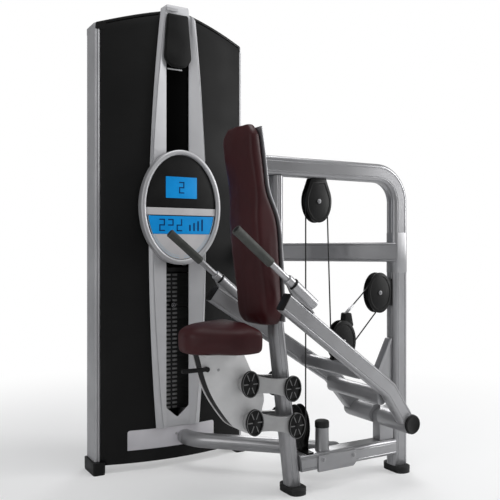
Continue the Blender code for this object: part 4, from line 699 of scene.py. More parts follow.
REPEATER = bpy.data.node_groups.new("repeated_on_places", "GeometryNodeTree")
for title, kind in (("Places", "NodeSocketGeometry"), ("Shape", "NodeSocketObject"),
        ("Finish", "NodeSocketMaterial"), ("Play", "NodeSocketFloat"), ("Seed", "NodeSocketInt")):
    REPEATER.interface.new_socket(name=title, in_out="INPUT", socket_type=kind)
REPEATER.interface.new_socket(name="Result", in_out="OUTPUT", socket_type="NodeSocketGeometry")
entry = add_node(REPEATER, "NodeGroupInput")
turn = add_node(REPEATER, "GeometryNodeInputNamedAttribute", {"Name": "turn"}, data_type="FLOAT_VECTOR")
spin = add_node(REPEATER, "FunctionNodeEulerToRotation", links={"Euler": (turn, "Attribute")})
shape = add_node(REPEATER, "GeometryNodeObjectInfo", links={"Object": (entry, "Shape")})
back = add_node(REPEATER, "ShaderNodeMath", {1: -1.0}, {0: (entry, "Play")}, operation="MULTIPLY")
play = add_node(REPEATER, "FunctionNodeRandomValue", links={2: (back, 0), 3: (entry, "Play"),
    "Seed": (entry, "Seed")}, data_type="FLOAT")
shift = add_node(REPEATER, "ShaderNodeCombineXYZ", links={"X": (play, 1)})
moved = add_node(REPEATER, "GeometryNodeSetPosition", links={"Geometry": (entry, "Places"), "Offset": (shift, 0)})
set_out = add_node(REPEATER, "GeometryNodeInstanceOnPoints",
    links={"Points": (moved, 0), "Instance": (shape, "Geometry"), "Rotation": (spin, 0)})
real = add_node(REPEATER, "GeometryNodeRealizeInstances", links={0: (set_out, 0)})
dressed = add_node(REPEATER, "GeometryNodeSetMaterial", links={"Geometry": (real, 0), "Material": (entry, "Finish")})
add_node(REPEATER, "NodeGroupOutput", links={0: (dressed, 0)})


def repeated(places, shape, look, turns=None, play=0.0, seed=7):
    """One mesh of a small shape set at many places, each turned by its own angles."""
    points = bpy.data.meshes.new("places")
    points.from_pydata([tuple(place) for place in places], [], [])
    turn = points.attributes.new("turn", "FLOAT_VECTOR", "POINT")
    for i, angles in enumerate(turns or [(0, 0, 0)] * len(places)):
        turn.data[i].vector = angles
    pattern, holder = placed("pattern", shape), placed("holder", points)
    modifier = holder.modifiers.new("Repeat", "NODES")
    modifier.node_group = REPEATER
    sockets = {socket.name: socket.identifier for socket in REPEATER.interface.items_tree if socket.in_out == "INPUT"}
    for title, value in (("Shape", pattern), ("Finish", look), ("Play", play), ("Seed", seed)):
        modifier[sockets[title]] = value
    mesh = taken(holder)
    bpy.data.objects.remove(pattern, do_unlink=True)
    return mesh


def turned(profile, centre, steps=48, axis=(0, 1, 0)):
    """A shape turned about an axis; the profile lists (radius, height)."""
    heading = Vector((0, 0, 1)).rotation_difference(Vector(axis)).to_matrix().to_4x4()
    mesh = bpy.data.meshes.new("turned")
    ring = profile[0][0] > 0
    edges = [(i, i + 1) for i in range(len(profile) - 1)] + ([(len(profile) - 1, 0)] if ring else [])
    mesh.from_pydata([(r, 0.0, h) for r, h in profile], edges, [])
    mesh = baked(mesh, ("SCREW", {"steps": steps, "render_steps": steps, "use_merge_vertices": True,
        "merge_threshold": 0.00001}))
    mesh.transform(Matrix.Translation(Vector(centre)) @ heading)
    return outward(mesh)


def round_bar(radius, low, high, edge=0.001):
    """Profile of a plain round bar with eased ends."""
    return [(0.0, low), (radius - edge, low), (radius, low + edge), (radius, high - edge), (radius - edge, high),
        (0.0, high)]


def from_rim(radius, height, *steps):
    """Profile points given by their way from one place on a turned shape."""
    return [(radius + out, height + along) for out, along in steps]


def mirrored(half):
    """Half a profile carried over to the other end, in reverse order."""
    return [(radius, -height) for radius, height in reversed(half)]


lug = slab(rounded(corners(0.0, 0.0, 0.019, 0.0078), 0.0015, 3), -0.003, 0.0004, 0.0012)
lug_y = STACK_Y - STACK_HALF_Y - CLEAR
for name, body, first, count in (("idle_lugs", "frame", 0, IDLE_PLATES),
        ("lifted_lugs", "lifted_stack", IDLE_PLATES, SELECTED_PLATES)):
    places = [(x, lug_y, STACK_BASE_Z + (first + i) * PLATE_PITCH + 0.0036) for i in range(count)
        for x in (SPINE_X - 0.0248, SPINE_X + 0.0026)]
    piece(name, repeated(places, lug.copy(), LUG, play=0.0004), None, body=body)

pin_z = IDLE_TOP + PLATE_PITCH * 0.42
knob = STACK_Y - STACK_HALF_Y - 0.005
profile = [(0.0, STACK_Y + 0.008), (0.003, STACK_Y + 0.0078), (0.0035, STACK_Y + 0.006)] + from_rim(0.0, knob,
    (0.0035, 0.0), (0.011, 0.0), (0.0124, -0.001), (0.013, -0.003), (0.013, -0.011), (0.0122, -0.0136),
    (0.0104, -0.0148), (0.009, -0.0144), (0.0, -0.0144))
piece("pin_knob", turned(profile, (SPINE_X, 0, pin_z)), PLASTIC, "selector_pin", body="selector")
ring = from_rim(0.0, knob, (0.009, -0.0142), (0.0086, -0.0154), (0.0068, -0.0154), (0.0064, -0.0142))
button = from_rim(0.0, knob, (0.0, -0.0154), (0.0026, -0.0152), (0.0034, -0.0144), (0.0034, -0.0138),
    (0.0, -0.0138))
piece("pin_ring", merged(turned(ring, (SPINE_X, 0, pin_z)), turned(button, (SPINE_X, 0, pin_z))), CHROME,
    body="selector")

# Seat frame. Thick steel box tube with big rounded corners and a drawn line beside each of them, all in silver powder
# coat: a bent top rail and upright, a leaning column, a tie bar to the tower, a base rail and a bent connecting tube.
UPRIGHT_X, UPRIGHT_HALF_X, TUBE_HALF_Y = 0.4655, 0.033, 0.026
TOP_TUBE_Z, TOP_TUBE_FRONT_X, MAIN_BEND = 1.1005, -0.156, 0.105
FOOT_HEIGHT, FOOT_HALF_X, FOOT_HALF_Y = 0.024, 0.031, 0.053
COLUMN_DEPTH, COLUMN_FOOT_DEPTH, COLUMN_FRONT_KNEE_Z = 0.041, 0.05, 0.545
COLUMN_FOOT_REAR_X, COLUMN_KNEE_REAR_X, COLUMN_KNEE_Z = 0.0215, -0.05, 0.6
RAIL_BOTTOM_Z, RAIL_TOP_Z, RAIL_HALF_Y = 0.07, 0.125, 0.036
TIE_BAR_Z, TIE_BAR_HALF_Z, TIE_BAR_HALF = 0.812, 0.036, 0.02
SLEEVE_LOW_Z, SLEEVE_HIGH_Z = 0.737, 0.884
JOINT_FRONT_X, JOINT_REAR_X, JOINT_CORNER = 0.0775, 0.24, 0.012
JOINT_BOLTS = ((0.0985, 0.1034), (0.228, 0.0999))
LOW_TUBE_Z, LOW_TUBE_BEND = 0.108, 0.06
LOW_TUBE_CORNER, LOW_TUBE_END = Vector((-0.192, 0.4)), Vector((0.2228, 0.0014))

COAT = finish("silver_powder_coat", "9c9c9e", 0.34, 0.62, (9.0, "98989a", "a0a0a2"), (12.0, 0.32, 0.37),
    (900.0, 0.18, 0.0002))


def tube_section(half_u, half_v, corner, line=0.0017, steps=8):
    """Rounded box tube with a fine drawn line at both ends of each corner."""

    def drawn(point, turn, way):
        """Both points of the line beside one end of a corner."""
        along = Vector((math.sin(turn) * way, -math.cos(turn) * way))
        inwards = Vector((-math.cos(turn), -math.sin(turn)))
        return [point + along * line * 2, point + along * line + inwards * line]

    points = []
    for su, sv, start in ((1, 1, 0), (-1, 1, 90), (-1, -1, 180), (1, -1, 270)):
        u, v = su * (half_u - corner), sv * (half_v - corner)
        turns = [math.radians(angle) for angle in evenly(start, start + 90, steps)]
        curve = [Vector((u + corner * math.cos(t), v + corner * math.sin(t))) for t in turns]
        if line:
            curve = drawn(curve[0], turns[0], 1) + curve + drawn(curve[-1], turns[-1], -1)[::-1]
        points += curve
    return [tuple(p) for p in points]


def swept(line, section, up=(0, 1, 0), cut_start=None, cut_end=None):
    """A tube of a section along a line, mitred where it turns; its ends may be cut to a plane (point, normal)."""
    line = [Vector(p) for p in line]
    up = Vector(up)
    rings = []
    for i, point in enumerate(line):
        before = (point - line[i - 1]).normalized() if i else None
        after = (line[i + 1] - point).normalized() if i < len(line) - 1 else None
        forward = ((before or after) + (after or before)).normalized()
        side = forward.cross(up).normalized()
        stretch = 1.0 / max(0.2, forward.dot(after or before))
        ring = [point + side * u * stretch + up * v for u, v in section]
        cut = cut_start if i == 0 else (cut_end if i == len(line) - 1 else None)
        if cut:
            place, normal = Vector(cut[0]), Vector(cut[1])
            ring = [p + forward * ((place - p).dot(normal) / forward.dot(normal)) for p in ring]
        rings.append(ring)
    return softened(skin(rings), 0.0008, 2, 50)


def arc(centre, radius, start, end, count):
    """Points on an arc between two angles, both ends included."""
    return oval(centre, radius, radius, start, end, count)


bend = arc((UPRIGHT_X - MAIN_BEND, TOP_TUBE_Z - MAIN_BEND), MAIN_BEND, 90, 0, 28)
line = [(TOP_TUBE_FRONT_X, 0, TOP_TUBE_Z)] + [(x, 0, z) for x, z in bend] + [(UPRIGHT_X, 0, FOOT_HEIGHT + CLEAR)]
upright_face = UPRIGHT_X - UPRIGHT_HALF_X
brace = slab(rounded([(upright_face + 0.003, 0.3), (upright_face + 0.003, 0.495), (upright_face - 0.012, 0.495),
    (upright_face - 0.075, 0.375), (upright_face - 0.06, 0.355), (upright_face - 0.012, 0.3)], 0.004), -0.012,
    0.012, 0.003)
flange = slab(rounded([(upright_face - 0.013, 0.493), (upright_face - 0.001, 0.493), (upright_face - 0.06, 0.373),
    (upright_face - 0.073, 0.377)], 0.003), -0.0165, -0.0115, 0.0015)
sleeve = swept([(UPRIGHT_X, 0, SLEEVE_LOW_Z), (UPRIGHT_X, 0, SLEEVE_HIGH_Z)],
    tube_section(UPRIGHT_HALF_X + 0.0012, TUBE_HALF_Y + 0.0012, 0.0165, 0.0))
piece("bent_frame_tube", merged(swept(line, tube_section(UPRIGHT_HALF_X, TUBE_HALF_Y, 0.015)), brace, flange,
    sleeve), COAT, "main_frame_tube")


def column_span(z):
    """Front and rear of the column at a height."""
    share = min(1.0, max(0.0, (z - FOOT_HEIGHT) / (COLUMN_KNEE_Z - FOOT_HEIGHT)))
    rear = COLUMN_FOOT_REAR_X + (COLUMN_KNEE_REAR_X - COLUMN_FOOT_REAR_X) * share
    share = min(1.0, max(0.0, (z - FOOT_HEIGHT) / (COLUMN_FRONT_KNEE_Z - FOOT_HEIGHT)))
    low, high = COLUMN_FOOT_REAR_X - COLUMN_FOOT_DEPTH, COLUMN_KNEE_REAR_X - COLUMN_DEPTH
    return low + (high - low) * share, rear


column_rings = []
for z in (FOOT_HEIGHT + CLEAR, COLUMN_FRONT_KNEE_Z - 0.02, COLUMN_FRONT_KNEE_Z,
        COLUMN_FRONT_KNEE_Z + 0.02, COLUMN_KNEE_Z - 0.015, COLUMN_KNEE_Z, COLUMN_KNEE_Z + 0.015,
        TOP_TUBE_Z - UPRIGHT_HALF_X - CLEAR):
    front, rear = column_span(z)
    section = tube_section((rear - front) / 2, TUBE_HALF_Y, 0.015)
    column_rings.append([((front + rear) / 2 + u, v, z) for u, v in section])
piece("column_tube", softened(skin(column_rings), 0.0008, 2, 50), COAT, "front_column")

start = Vector((upright_face - CLEAR, 0.0, TIE_BAR_Z))
end = Vector((TOWER_RIGHT + 0.0015, TOWER_FRONT - 0.006 - CLEAR, TIE_BAR_Z))
bar = swept([start, end], tube_section(TIE_BAR_HALF, TIE_BAR_HALF_Z, 0.007), (0, 0, 1), (start, (1, 0, 0)),
    (end, (0, 1, 0)))
piece("tie_bar_tube", bar, COAT, "tie_bar")

middle = (RAIL_BOTTOM_Z + RAIL_TOP_Z) / 2
lean = Vector((1.0, 0.0, (COLUMN_FOOT_REAR_X - COLUMN_KNEE_REAR_X) / (COLUMN_KNEE_Z - FOOT_HEIGHT)))
rail = swept([(column_span(middle)[1] + CLEAR, 0, middle), (upright_face - CLEAR, 0, middle)],
    tube_section((RAIL_TOP_Z - RAIL_BOTTOM_Z) / 2, RAIL_HALF_Y, 0.01), (0, 1, 0),
    ((column_span(middle)[1] + CLEAR, 0, middle), lean))
low = RAIL_BOTTOM_Z - 0.006
joint = rounded([(JOINT_FRONT_X, low), (JOINT_REAR_X - JOINT_CORNER, low), (JOINT_REAR_X, low + JOINT_CORNER),
    (JOINT_REAR_X, RAIL_TOP_Z - 0.006), (JOINT_FRONT_X, RAIL_TOP_Z - 0.006)], 0.003)
joint = slab(joint, -RAIL_HALF_Y - 0.0065, -RAIL_HALF_Y + 0.002, 0.0012)
piece("base_rail_tube", merged(rail, joint), COAT, "base_rail")

away = (LOW_TUBE_END - LOW_TUBE_CORNER).normalized()
curve = [LOW_TUBE_CORNER + Vector((0, LOW_TUBE_BEND)), LOW_TUBE_CORNER, LOW_TUBE_CORNER + away * LOW_TUBE_BEND]
line = [(LOW_TUBE_CORNER.x, TOWER_FRONT - TOWER_BULGE - CLEAR, LOW_TUBE_Z)]
for t in evenly(0.0, 1.0, 24):
    x, y = curve[0] * (1 - t) ** 2 + curve[1] * 2 * t * (1 - t) + curve[2] * t ** 2
    line.append((x, min(y, TOWER_FRONT - TOWER_BULGE - 0.002), LOW_TUBE_Z))
line.append((*LOW_TUBE_END, LOW_TUBE_Z))
tube = swept(line, tube_section(0.03, 0.026, 0.0235, 0.0), (0, 0, 1), None, ((0, RAIL_HALF_Y + CLEAR, 0), (0, 1, 0)))
piece("bent_connecting_tube", tube, COAT, "connecting_tube")

sole = rounded(corners(-FOOT_HALF_X, -FOOT_HALF_Y, FOOT_HALF_X, FOOT_HALF_Y), 0.031, 12)
for name, x in (("front", 0.0), ("rear", UPRIGHT_X)):
    tread = slab([(x + u * 0.985, v * 0.99) for u, v in sole], 0.0, 0.01, 0.002, plane="XY")
    shoe = slab([(x + u, v) for u, v in sole], 0.0105, FOOT_HEIGHT, 0.005, plane="XY")
    piece(name + "_shoe", merged(tread, shoe), RUBBER, name + "_foot")

STOP_X, STOP_TOP_Z, STOP_RADIUS = 0.122, 0.228, 0.024
post = [(0.0, RAIL_TOP_Z + CLEAR), *from_rim(STOP_RADIUS, RAIL_TOP_Z, (0.001, CLEAR), (0.0, 0.003)),
    (STOP_RADIUS - 0.0005, STOP_TOP_Z - 0.024), (0.0, STOP_TOP_Z - 0.024)]
piece("stop_post", turned(post, (STOP_X, 0, 0), axis=(0, 0, 1)), COAT, "bump_stop")
pad = [(0.0, STOP_TOP_Z - 0.0235), *from_rim(STOP_RADIUS, STOP_TOP_Z, (0.001, -0.0235), (0.001, -0.006),
    (-0.001, -0.002), (-0.005, 0.0)), (0.0, STOP_TOP_Z)]
piece("stop_buffer", turned(pad, (STOP_X, 0, 0), axis=(0, 0, 1)), RUBBER)

bolt = turned([(0.0, -0.0062), (0.003, -0.006), (0.0034, -0.0046), (0.0046, -0.005), (0.0058, -0.0042),
    (0.0066, -0.002), (0.0068, 0.0), (0.0095, 0.0002), (0.0098, 0.0012), (0.0, 0.0012)], (0, 0, 0), 24)


def screws(name, places, size=1.0, play=0.0, body="frame"):
    """Small bright screw heads that face the front."""
    head = bolt.copy()
    head.transform(Matrix.Scale(size, 4))
    piece(name, repeated(places, head, CHROME, play=play), None, body=body)


near_face = -RAIL_HALF_Y - 0.0078
screws("joint_bolts", [(x, near_face, z) for x, z in JOINT_BOLTS], play=0.0003)
screws("kick_screws", [(SPINE_X - 0.0041, front_y(SPINE_X + 0.01) - 0.0001, 0.1233)], 0.55)

# Lever bracket. One thick web welded on the rail and the upright holds the fixed steel axle that the lever turns on.
PIVOT_X, PIVOT_Z, PIVOT_RADIUS, AXLE_RADIUS, HUB_END = 0.385, 0.215, 0.034, 0.012, 0.166
cheek = rounded([(PIVOT_X - 0.018, RAIL_TOP_Z + CLEAR), (upright_face - CLEAR, RAIL_TOP_Z + CLEAR),
    (upright_face - CLEAR, PIVOT_Z + 0.03), (PIVOT_X + 0.012, PIVOT_Z + 0.024), (PIVOT_X - 0.018, PIVOT_Z + 0.006)],
    [0, 0, 0, 0.006, 0.008])
axle = turned(round_bar(AXLE_RADIUS, -0.15, 0.15), (PIVOT_X, 0, PIVOT_Z))
piece("axle_bracket", merged(slab(cheek, -0.02, 0.02, 0.002), axle), COAT, "lever_bracket")

# Press lever. Two box-tube arms, mitred at the knee, draw in to a pivot tube and carry a round and an oval cross
# tube. A black plug closes each arm's front end and a black cap each end of the pivot tube.
ARM_DEPTH, ARM_WIDTH = 0.058, 0.04
ARM_FRONT, ARM_KNEE = Vector((-0.19, 0.667)), Vector((0.283, 0.345))
ARM_FRONT_Y, ARM_REAR_Y = 0.2335, 0.142
UPPER_TUBE, LOWER_TUBE = (0.165, 0.414), (0.272, 0.318)
TANG_RADIUS, TANG_PIN = 0.01, 0.005
ARMS = (("near", -1), ("far", 1))


def arm_y(x):
    """Distance of an arm's middle from the seat's middle plane."""
    share = (x - ARM_FRONT.x) / (PIVOT_X - ARM_FRONT.x)
    return ARM_FRONT_Y + (ARM_REAR_Y - ARM_FRONT_Y) * share


def cross_tube(centre, half_x, half_z, corner):
    """A tube between the arms, its ends cut to their slanted inner faces."""
    x, z = centre
    mesh = skin([[(x + u, y, z + v) for u, v in tube_section(half_x, half_z, corner, 0.0, 12)] for y in (-0.1, 0.1)])
    for vert in mesh.vertices:
        vert.co.y = math.copysign(arm_y(vert.co.x) - ARM_WIDTH / 2 - CLEAR, vert.co.y)
    return mesh


arm_run = (ARM_KNEE - ARM_FRONT).normalized()
rear_run = (Vector((PIVOT_X, PIVOT_Z)) - ARM_KNEE).normalized()
arm_end = Vector((PIVOT_X, PIVOT_Z)) - rear_run * PIVOT_RADIUS * 0.8
for name, side in ARMS:
    front = ARM_FRONT + arm_run * 0.004
    arm = swept([(front.x, 0, front.y), (ARM_KNEE.x, 0, ARM_KNEE.y), (arm_end.x, 0, arm_end.y)],
        tube_section(ARM_DEPTH / 2, ARM_WIDTH / 2, 0.0085, 0.0018))
    plug = swept([(ARM_FRONT.x, 0, ARM_FRONT.y),
        (front.x - arm_run.x * 0.0003, 0, front.y - arm_run.y * 0.0003)],
        tube_section(ARM_DEPTH / 2 - 0.0005, ARM_WIDTH / 2 - 0.0005, 0.0075, 0.0))
    for mesh in (arm, plug):
        for vert in mesh.vertices:
            vert.co.y += side * arm_y(vert.co.x)
    hub = turned([(PIVOT_RADIUS, HUB_END), (PIVOT_RADIUS + 0.0005, HUB_END - 0.004),
        (PIVOT_RADIUS, HUB_END - 0.006), (PIVOT_RADIUS, 0.0225), (PIVOT_RADIUS - 0.001, 0.0205),
        (AXLE_RADIUS + CLEAR, 0.0205), (AXLE_RADIUS + CLEAR, HUB_END - 0.014), (0.022, HUB_END - 0.014),
        (0.022, HUB_END)], (PIVOT_X, 0, PIVOT_Z), 64, axis=(0, side, 0))
    piece(name + "_arm_tube", merged(arm, hub), COAT, name + "_arm", body="press_lever")
    piece(name + "_arm_plug", plug, PLASTIC, body="press_lever")
    dome = from_rim(PIVOT_RADIUS, HUB_END, (-0.001, CLEAR), (-0.0005, 0.004), (-0.002, 0.0066), (-0.005, 0.008),
        (-0.007, 0.0078), (-0.009, 0.0066))
    cap = turned([(0.0, HUB_END + CLEAR)] + dome + [(0.0, HUB_END + 0.0064)], (PIVOT_X, 0, PIVOT_Z), 64,
        axis=(0, side, 0))
    piece(name + "_pivot_plug", cap, PLASTIC, name + "_pivot_cap", body="press_lever")

notch = slab(corners(UPPER_TUBE[0] - TANG_RADIUS - 0.0005, UPPER_TUBE[1] - TANG_RADIUS - 0.0005,
    UPPER_TUBE[0] + 0.05, UPPER_TUBE[1] + 0.05), -0.019, 0.019)
upper = softened(carved(cross_tube(UPPER_TUBE, 0.018, 0.022, 0.012), notch), 0.0008, 2, 50)
piece("upper_cross_tube", upper, COAT, "lever_upper_tube", body="press_lever")
piece("lower_cross_tube", softened(cross_tube(LOWER_TUBE, 0.022, 0.028, 0.021), 0.0006, 2, 50),
    COAT, "lever_lower_tube", body="press_lever")

# Handles. A chromed socket is welded to each arm by a web. The bright rod in it, with a black collar where it goes
# in, ends in a long grained rubber grip whose tip has a rim round a recessed face.
GRIP_TIP, SOCKET_REAR = Vector((-0.351, 0.879)), Vector((-0.079, 0.653))
GRIP_LENGTH, GRIP_RADIUS, ROD_RADIUS = 0.153, 0.0145, 0.01
SOCKET_LENGTH, SOCKET_RADIUS, SLEEVE_RADIUS = 0.126, 0.0185, 0.016

GRIP = finish("grey_grip_rubber", "464845", 0.6, 0.0, (40.0, "40423f", "4c4e4b"), (60.0, 0.52, 0.68),
    (1400.0, 0.4, 0.0003), Specular_IOR_Level=0.3)

run = (SOCKET_REAR - GRIP_TIP).normalized()
length = (SOCKET_REAR - GRIP_TIP).length
inside = length - SOCKET_LENGTH
normal = Vector((-arm_run.y, arm_run.x))
arm_top = ARM_FRONT + normal * (ARM_DEPTH / 2 + CLEAR)
under = Vector((run.y, -run.x)) * (SOCKET_RADIUS * 0.8)
web_line = [GRIP_TIP + run * (inside + 0.012) + under, SOCKET_REAR - run * 0.006 + under,
    arm_top + arm_run * 0.115, arm_top + arm_run * 0.018]
for name, side in ARMS:
    y = side * ARM_FRONT_Y
    tip, axis = (GRIP_TIP.x, y, GRIP_TIP.y), (run.x, 0, run.y)
    socket = turned([(SOCKET_RADIUS - 0.0008, length), (SOCKET_RADIUS, length - 0.0008),
        (SOCKET_RADIUS, inside + 0.029), (SLEEVE_RADIUS, inside + 0.0285), (SLEEVE_RADIUS, inside + 0.001),
        (SLEEVE_RADIUS - 0.001, inside), (ROD_RADIUS + CLEAR, inside), (ROD_RADIUS + CLEAR, length)], tip, 64,
        axis=axis)
    web = slab([tuple(p) for p in web_line], y - 0.006, y + 0.006, 0.0008)
    piece(name + "_socket", merged(socket, web), CHROME, name + "_handle_socket", body="press_lever")
    lip = from_rim(GRIP_RADIUS, 0.0, (0.0, 0.008), (0.0005, 0.007), (0.0005, 0.002), (-0.0008, 0.0003),
        (-0.0028, 0.0), (-0.0036, 0.0006), (-0.004, 0.002))
    grip = turned([(0.0, GRIP_LENGTH), (GRIP_RADIUS - 0.001, GRIP_LENGTH), (GRIP_RADIUS, GRIP_LENGTH - 0.001)] + lip
        + [(0.0, 0.002)], tip, axis=axis)
    piece(name + "_grip", grip, GRIP, name + "_handle", body="press_lever")
    rod = turned([(0.0, length - 0.004), (ROD_RADIUS - 0.001, length - 0.004), (ROD_RADIUS, length - 0.005),
        (ROD_RADIUS, GRIP_LENGTH + 0.0003), (0.0, GRIP_LENGTH + 0.0003)], tip, axis=axis)
    piece(name + "_rod", rod, CHROME, body="press_lever")
    collar = turned([(SLEEVE_RADIUS + 0.0002, inside + 0.022), (SOCKET_RADIUS + 0.0006, inside + 0.022),
        (SOCKET_RADIUS + 0.0012, inside + 0.023), (SOCKET_RADIUS + 0.0012, inside + 0.0275),
        (SOCKET_RADIUS + 0.0006, inside + 0.0284), (SLEEVE_RADIUS + 0.0002, inside + 0.0284)], tip, axis=axis)
    button = turned([(0.0, 0.0018), (GRIP_RADIUS - 0.0042, 0.0018), (GRIP_RADIUS - 0.0046, 0.0012), (0.0, 0.001)],
        tip, axis=axis)
    piece(name + "_collar", merged(collar, button), PLASTIC, body="press_lever")

# Pulleys. Grooved nylon wheels run between pairs of moulded side plates: a teardrop cover under the top rail, an oval
# on the upright, a floating block hinged to the lever, and a low pair on the rail. All axles but the low one show a
# small bright bolt.
UPPER_PULLEY, REAR_PULLEY, FLOAT_PULLEY = (0.0985, 0.988), (0.3725, 0.664), (0.2065, 0.497)
FLOAT_HOOK = (0.233, 0.6)
LOWER_PULLEY_X, LOWER_PULLEY_YZ = 0.053, (0.0453, 0.207)
TOWER_PULLEY_X, TOWER_PULLEY_YZ = 0.02, (0.55, 0.1917)
GROOVE_RADIUS, WHEEL_RADIUS, WHEEL_HALF, BORE_RADIUS = 0.0453, 0.05, 0.008, 0.0085
COVER_HALF, COVER_SHEET, COVER_U, COVER_V = 0.015, 0.004, 0.054, 0.0735
CABLE_RADIUS = 0.0025
UNDER_RAIL = TOP_TUBE_Z - UPRIGHT_HALF_X - CLEAR

NYLON = finish("black_nylon_wheel", "242424", 0.38, 0.0, (30.0, "1f1f1f", "2a2a2a"), (30.0, 0.32, 0.46))
CORD = finish("black_coated_cable", "141414", 0.34, 0.0, (60.0, "101010", "1b1b1b"), (80.0, 0.28, 0.42))

floor_radius, flat = GROOVE_RADIUS - CABLE_RADIUS - 0.0015, CABLE_RADIUS + 0.0008
flange = from_rim(WHEEL_RADIUS, WHEEL_HALF, (-0.0006, 0.0), (0.0, -0.0006), (0.0, -0.0015)) + [(floor_radius, flat)]
dish = from_rim(0.0, -WHEEL_HALF, (0.036, 0.0), (0.034, 0.002), (0.018, 0.002), (0.016, 0.0), (BORE_RADIUS, 0.0))
wheel = flange + [(floor_radius - 0.0005, 0.0)] + mirrored(flange) + dish + mirrored(dish)
for name, body, centre, axis in (("upper_pulley", "upper_wheel", (UPPER_PULLEY[0], 0, UPPER_PULLEY[1]), (0, -1, 0)),
        ("rear_pulley", "rear_wheel", (REAR_PULLEY[0], 0, REAR_PULLEY[1]), (0, -1, 0)),
        ("floating_pulley", "floating_wheel", (FLOAT_PULLEY[0], 0, FLOAT_PULLEY[1]), (0, -1, 0)),
        ("lower_pulley", "lower_wheel", (LOWER_PULLEY_X, *LOWER_PULLEY_YZ), (1, 0, 0))):
    piece(name + "_wheel", turned(wheel, centre, 72, axis=axis), NYLON, name, body=body)


def cover_plate(outline, low, high, outer_low, plane="XZ"):
    """A side plate with a raised band inside its edge on the outer face."""
    middle = (sum(p[0] for p in outline) / len(outline), sum(p[1] for p in outline) / len(outline))

    def shrunk(share):
        return [(middle[0] + (u - middle[0]) * share, middle[1] + (v - middle[1]) * share) for u, v in outline]

    band = (low - 0.0008, low + 0.001) if outer_low else (high - 0.001, high + 0.0008)
    return merged(slab(outline, low, high, 0.0009, 2, plane=plane),
        slab(shrunk(0.9), *band, 0.0004, 2, plane=plane, hole=shrunk(0.82)))


def both_covers(outline):
    """The side plates either side of an upright wheel."""
    return [cover_plate(outline, -COVER_HALF, -COVER_HALF + COVER_SHEET, True),
        cover_plate(outline, COVER_HALF - COVER_SHEET, COVER_HALF, False)]


def axle_pin(centre, half, axis=(0, 1, 0)):
    """An axle with a flat head either side."""
    return turned(round_bar(0.008, -half - 0.002, half + 0.002), centre, 32, axis)


x, z = UPPER_PULLEY
teardrop = [(x + 0.03, UNDER_RAIL)] + oval(UPPER_PULLEY, COVER_U, COVER_V, 35, -215, 80) + [(x - 0.03, UNDER_RAIL)]
plates = both_covers(teardrop)
neck = slab([(x - 0.02, z + 0.058), (x + 0.02, z + 0.058), (x + 0.026, UNDER_RAIL), (x - 0.026, UNDER_RAIL)],
    -COVER_HALF + COVER_SHEET, COVER_HALF - COVER_SHEET)
piece("upper_cover", merged(*plates, neck, axle_pin((x, 0, z), COVER_HALF)), PLASTIC,
    "upper_pulley_cover")
axle_screws = [(x, -COVER_HALF - 0.003, z), (REAR_PULLEY[0], -COVER_HALF - 0.003, REAR_PULLEY[1])]

x, z = REAR_PULLEY
arm = slab(rounded([(x + 0.03, z - 0.045), (upright_face - CLEAR, z - 0.05), (upright_face - CLEAR, z + 0.05),
    (x + 0.03, z + 0.045)], [0.004, 0, 0, 0.004]), -COVER_HALF + 0.001, COVER_HALF - 0.001, 0.001)
hole = turned(corners(0.0, -0.1, 0.0525, 0.1), (x, 0, z), 64)
disc = oval(REAR_PULLEY, COVER_U, COVER_V)
plates = both_covers(disc)
piece("rear_cover", merged(*plates, carved(arm, hole), axle_pin((x, 0, z), COVER_HALF)), PLASTIC,
    "rear_pulley_cover")
screws("axle_screws", axle_screws, 0.8, 0.0002)

y, z = LOWER_PULLEY_YZ
foot = rounded(corners(LOWER_PULLEY_X - 0.0135, -RAIL_HALF_Y + 0.006, LOWER_PULLEY_X + 0.0135, RAIL_HALF_Y), 0.003)
parts = [slab(foot, RAIL_TOP_Z + CLEAR, RAIL_TOP_Z + 0.006, 0.001, plane="XY"),
    axle_pin((LOWER_PULLEY_X, y, z), 0.0125, (1, 0, 0))]
for side in (-1, 1):
    low, high = sorted((LOWER_PULLEY_X + side * 0.0095, LOWER_PULLEY_X + side * 0.0125))
    parts.append(cover_plate(oval((y, z), 0.054, 0.075), low, high, side < 0, "YZ"))
    parts.append(slab(corners(y - 0.045, RAIL_TOP_Z + 0.004, y - 0.012, z - 0.03), low + 0.0005, high - 0.0005,
        0.0006, 2, plane="YZ"))
piece("lower_cover", merged(*parts), PLASTIC, "lower_pulley_cover")

x, z = FLOAT_PULLEY
disc = oval(FLOAT_PULLEY, COVER_U, COVER_V)
eye = Vector(UPPER_TUBE)
heading = (Vector(FLOAT_PULLEY) - eye).normalized()
turn = math.degrees(math.atan2(heading.y, heading.x))
across = Vector((-heading.y, heading.x)) * TANG_RADIUS
strap = arc(UPPER_TUBE, TANG_RADIUS, turn + 90, turn + 270, 16) + [tuple(eye + heading * 0.055 - across),
    tuple(eye + heading * 0.055 + across)]
parts = both_covers(disc) + [axle_pin((x, 0, z), COVER_HALF)]
parts += [slab(strap, low, low + 0.003, 0.0006, 2) for low in (-COVER_HALF + 0.0005, COVER_HALF - 0.0035)]
parts.append(turned(corners(0.0, -0.031, TANG_PIN, 0.031), (UPPER_TUBE[0], 0, UPPER_TUBE[1]), 24))
neck = rounded([(x + 0.004, z + 0.052), (x + 0.044, z + 0.052), (x + 0.034, z + 0.1), (x + 0.01, z + 0.1)], 0.006)
parts.append(slab(neck, -COVER_HALF + 0.001, COVER_HALF - 0.001, 0.002))
piece("float_block", merged(*parts), PLASTIC, "floating_block", body="floating_block")
screws("float_screw", [(x, -COVER_HALF - 0.003, z)], 0.8, body="floating_block")
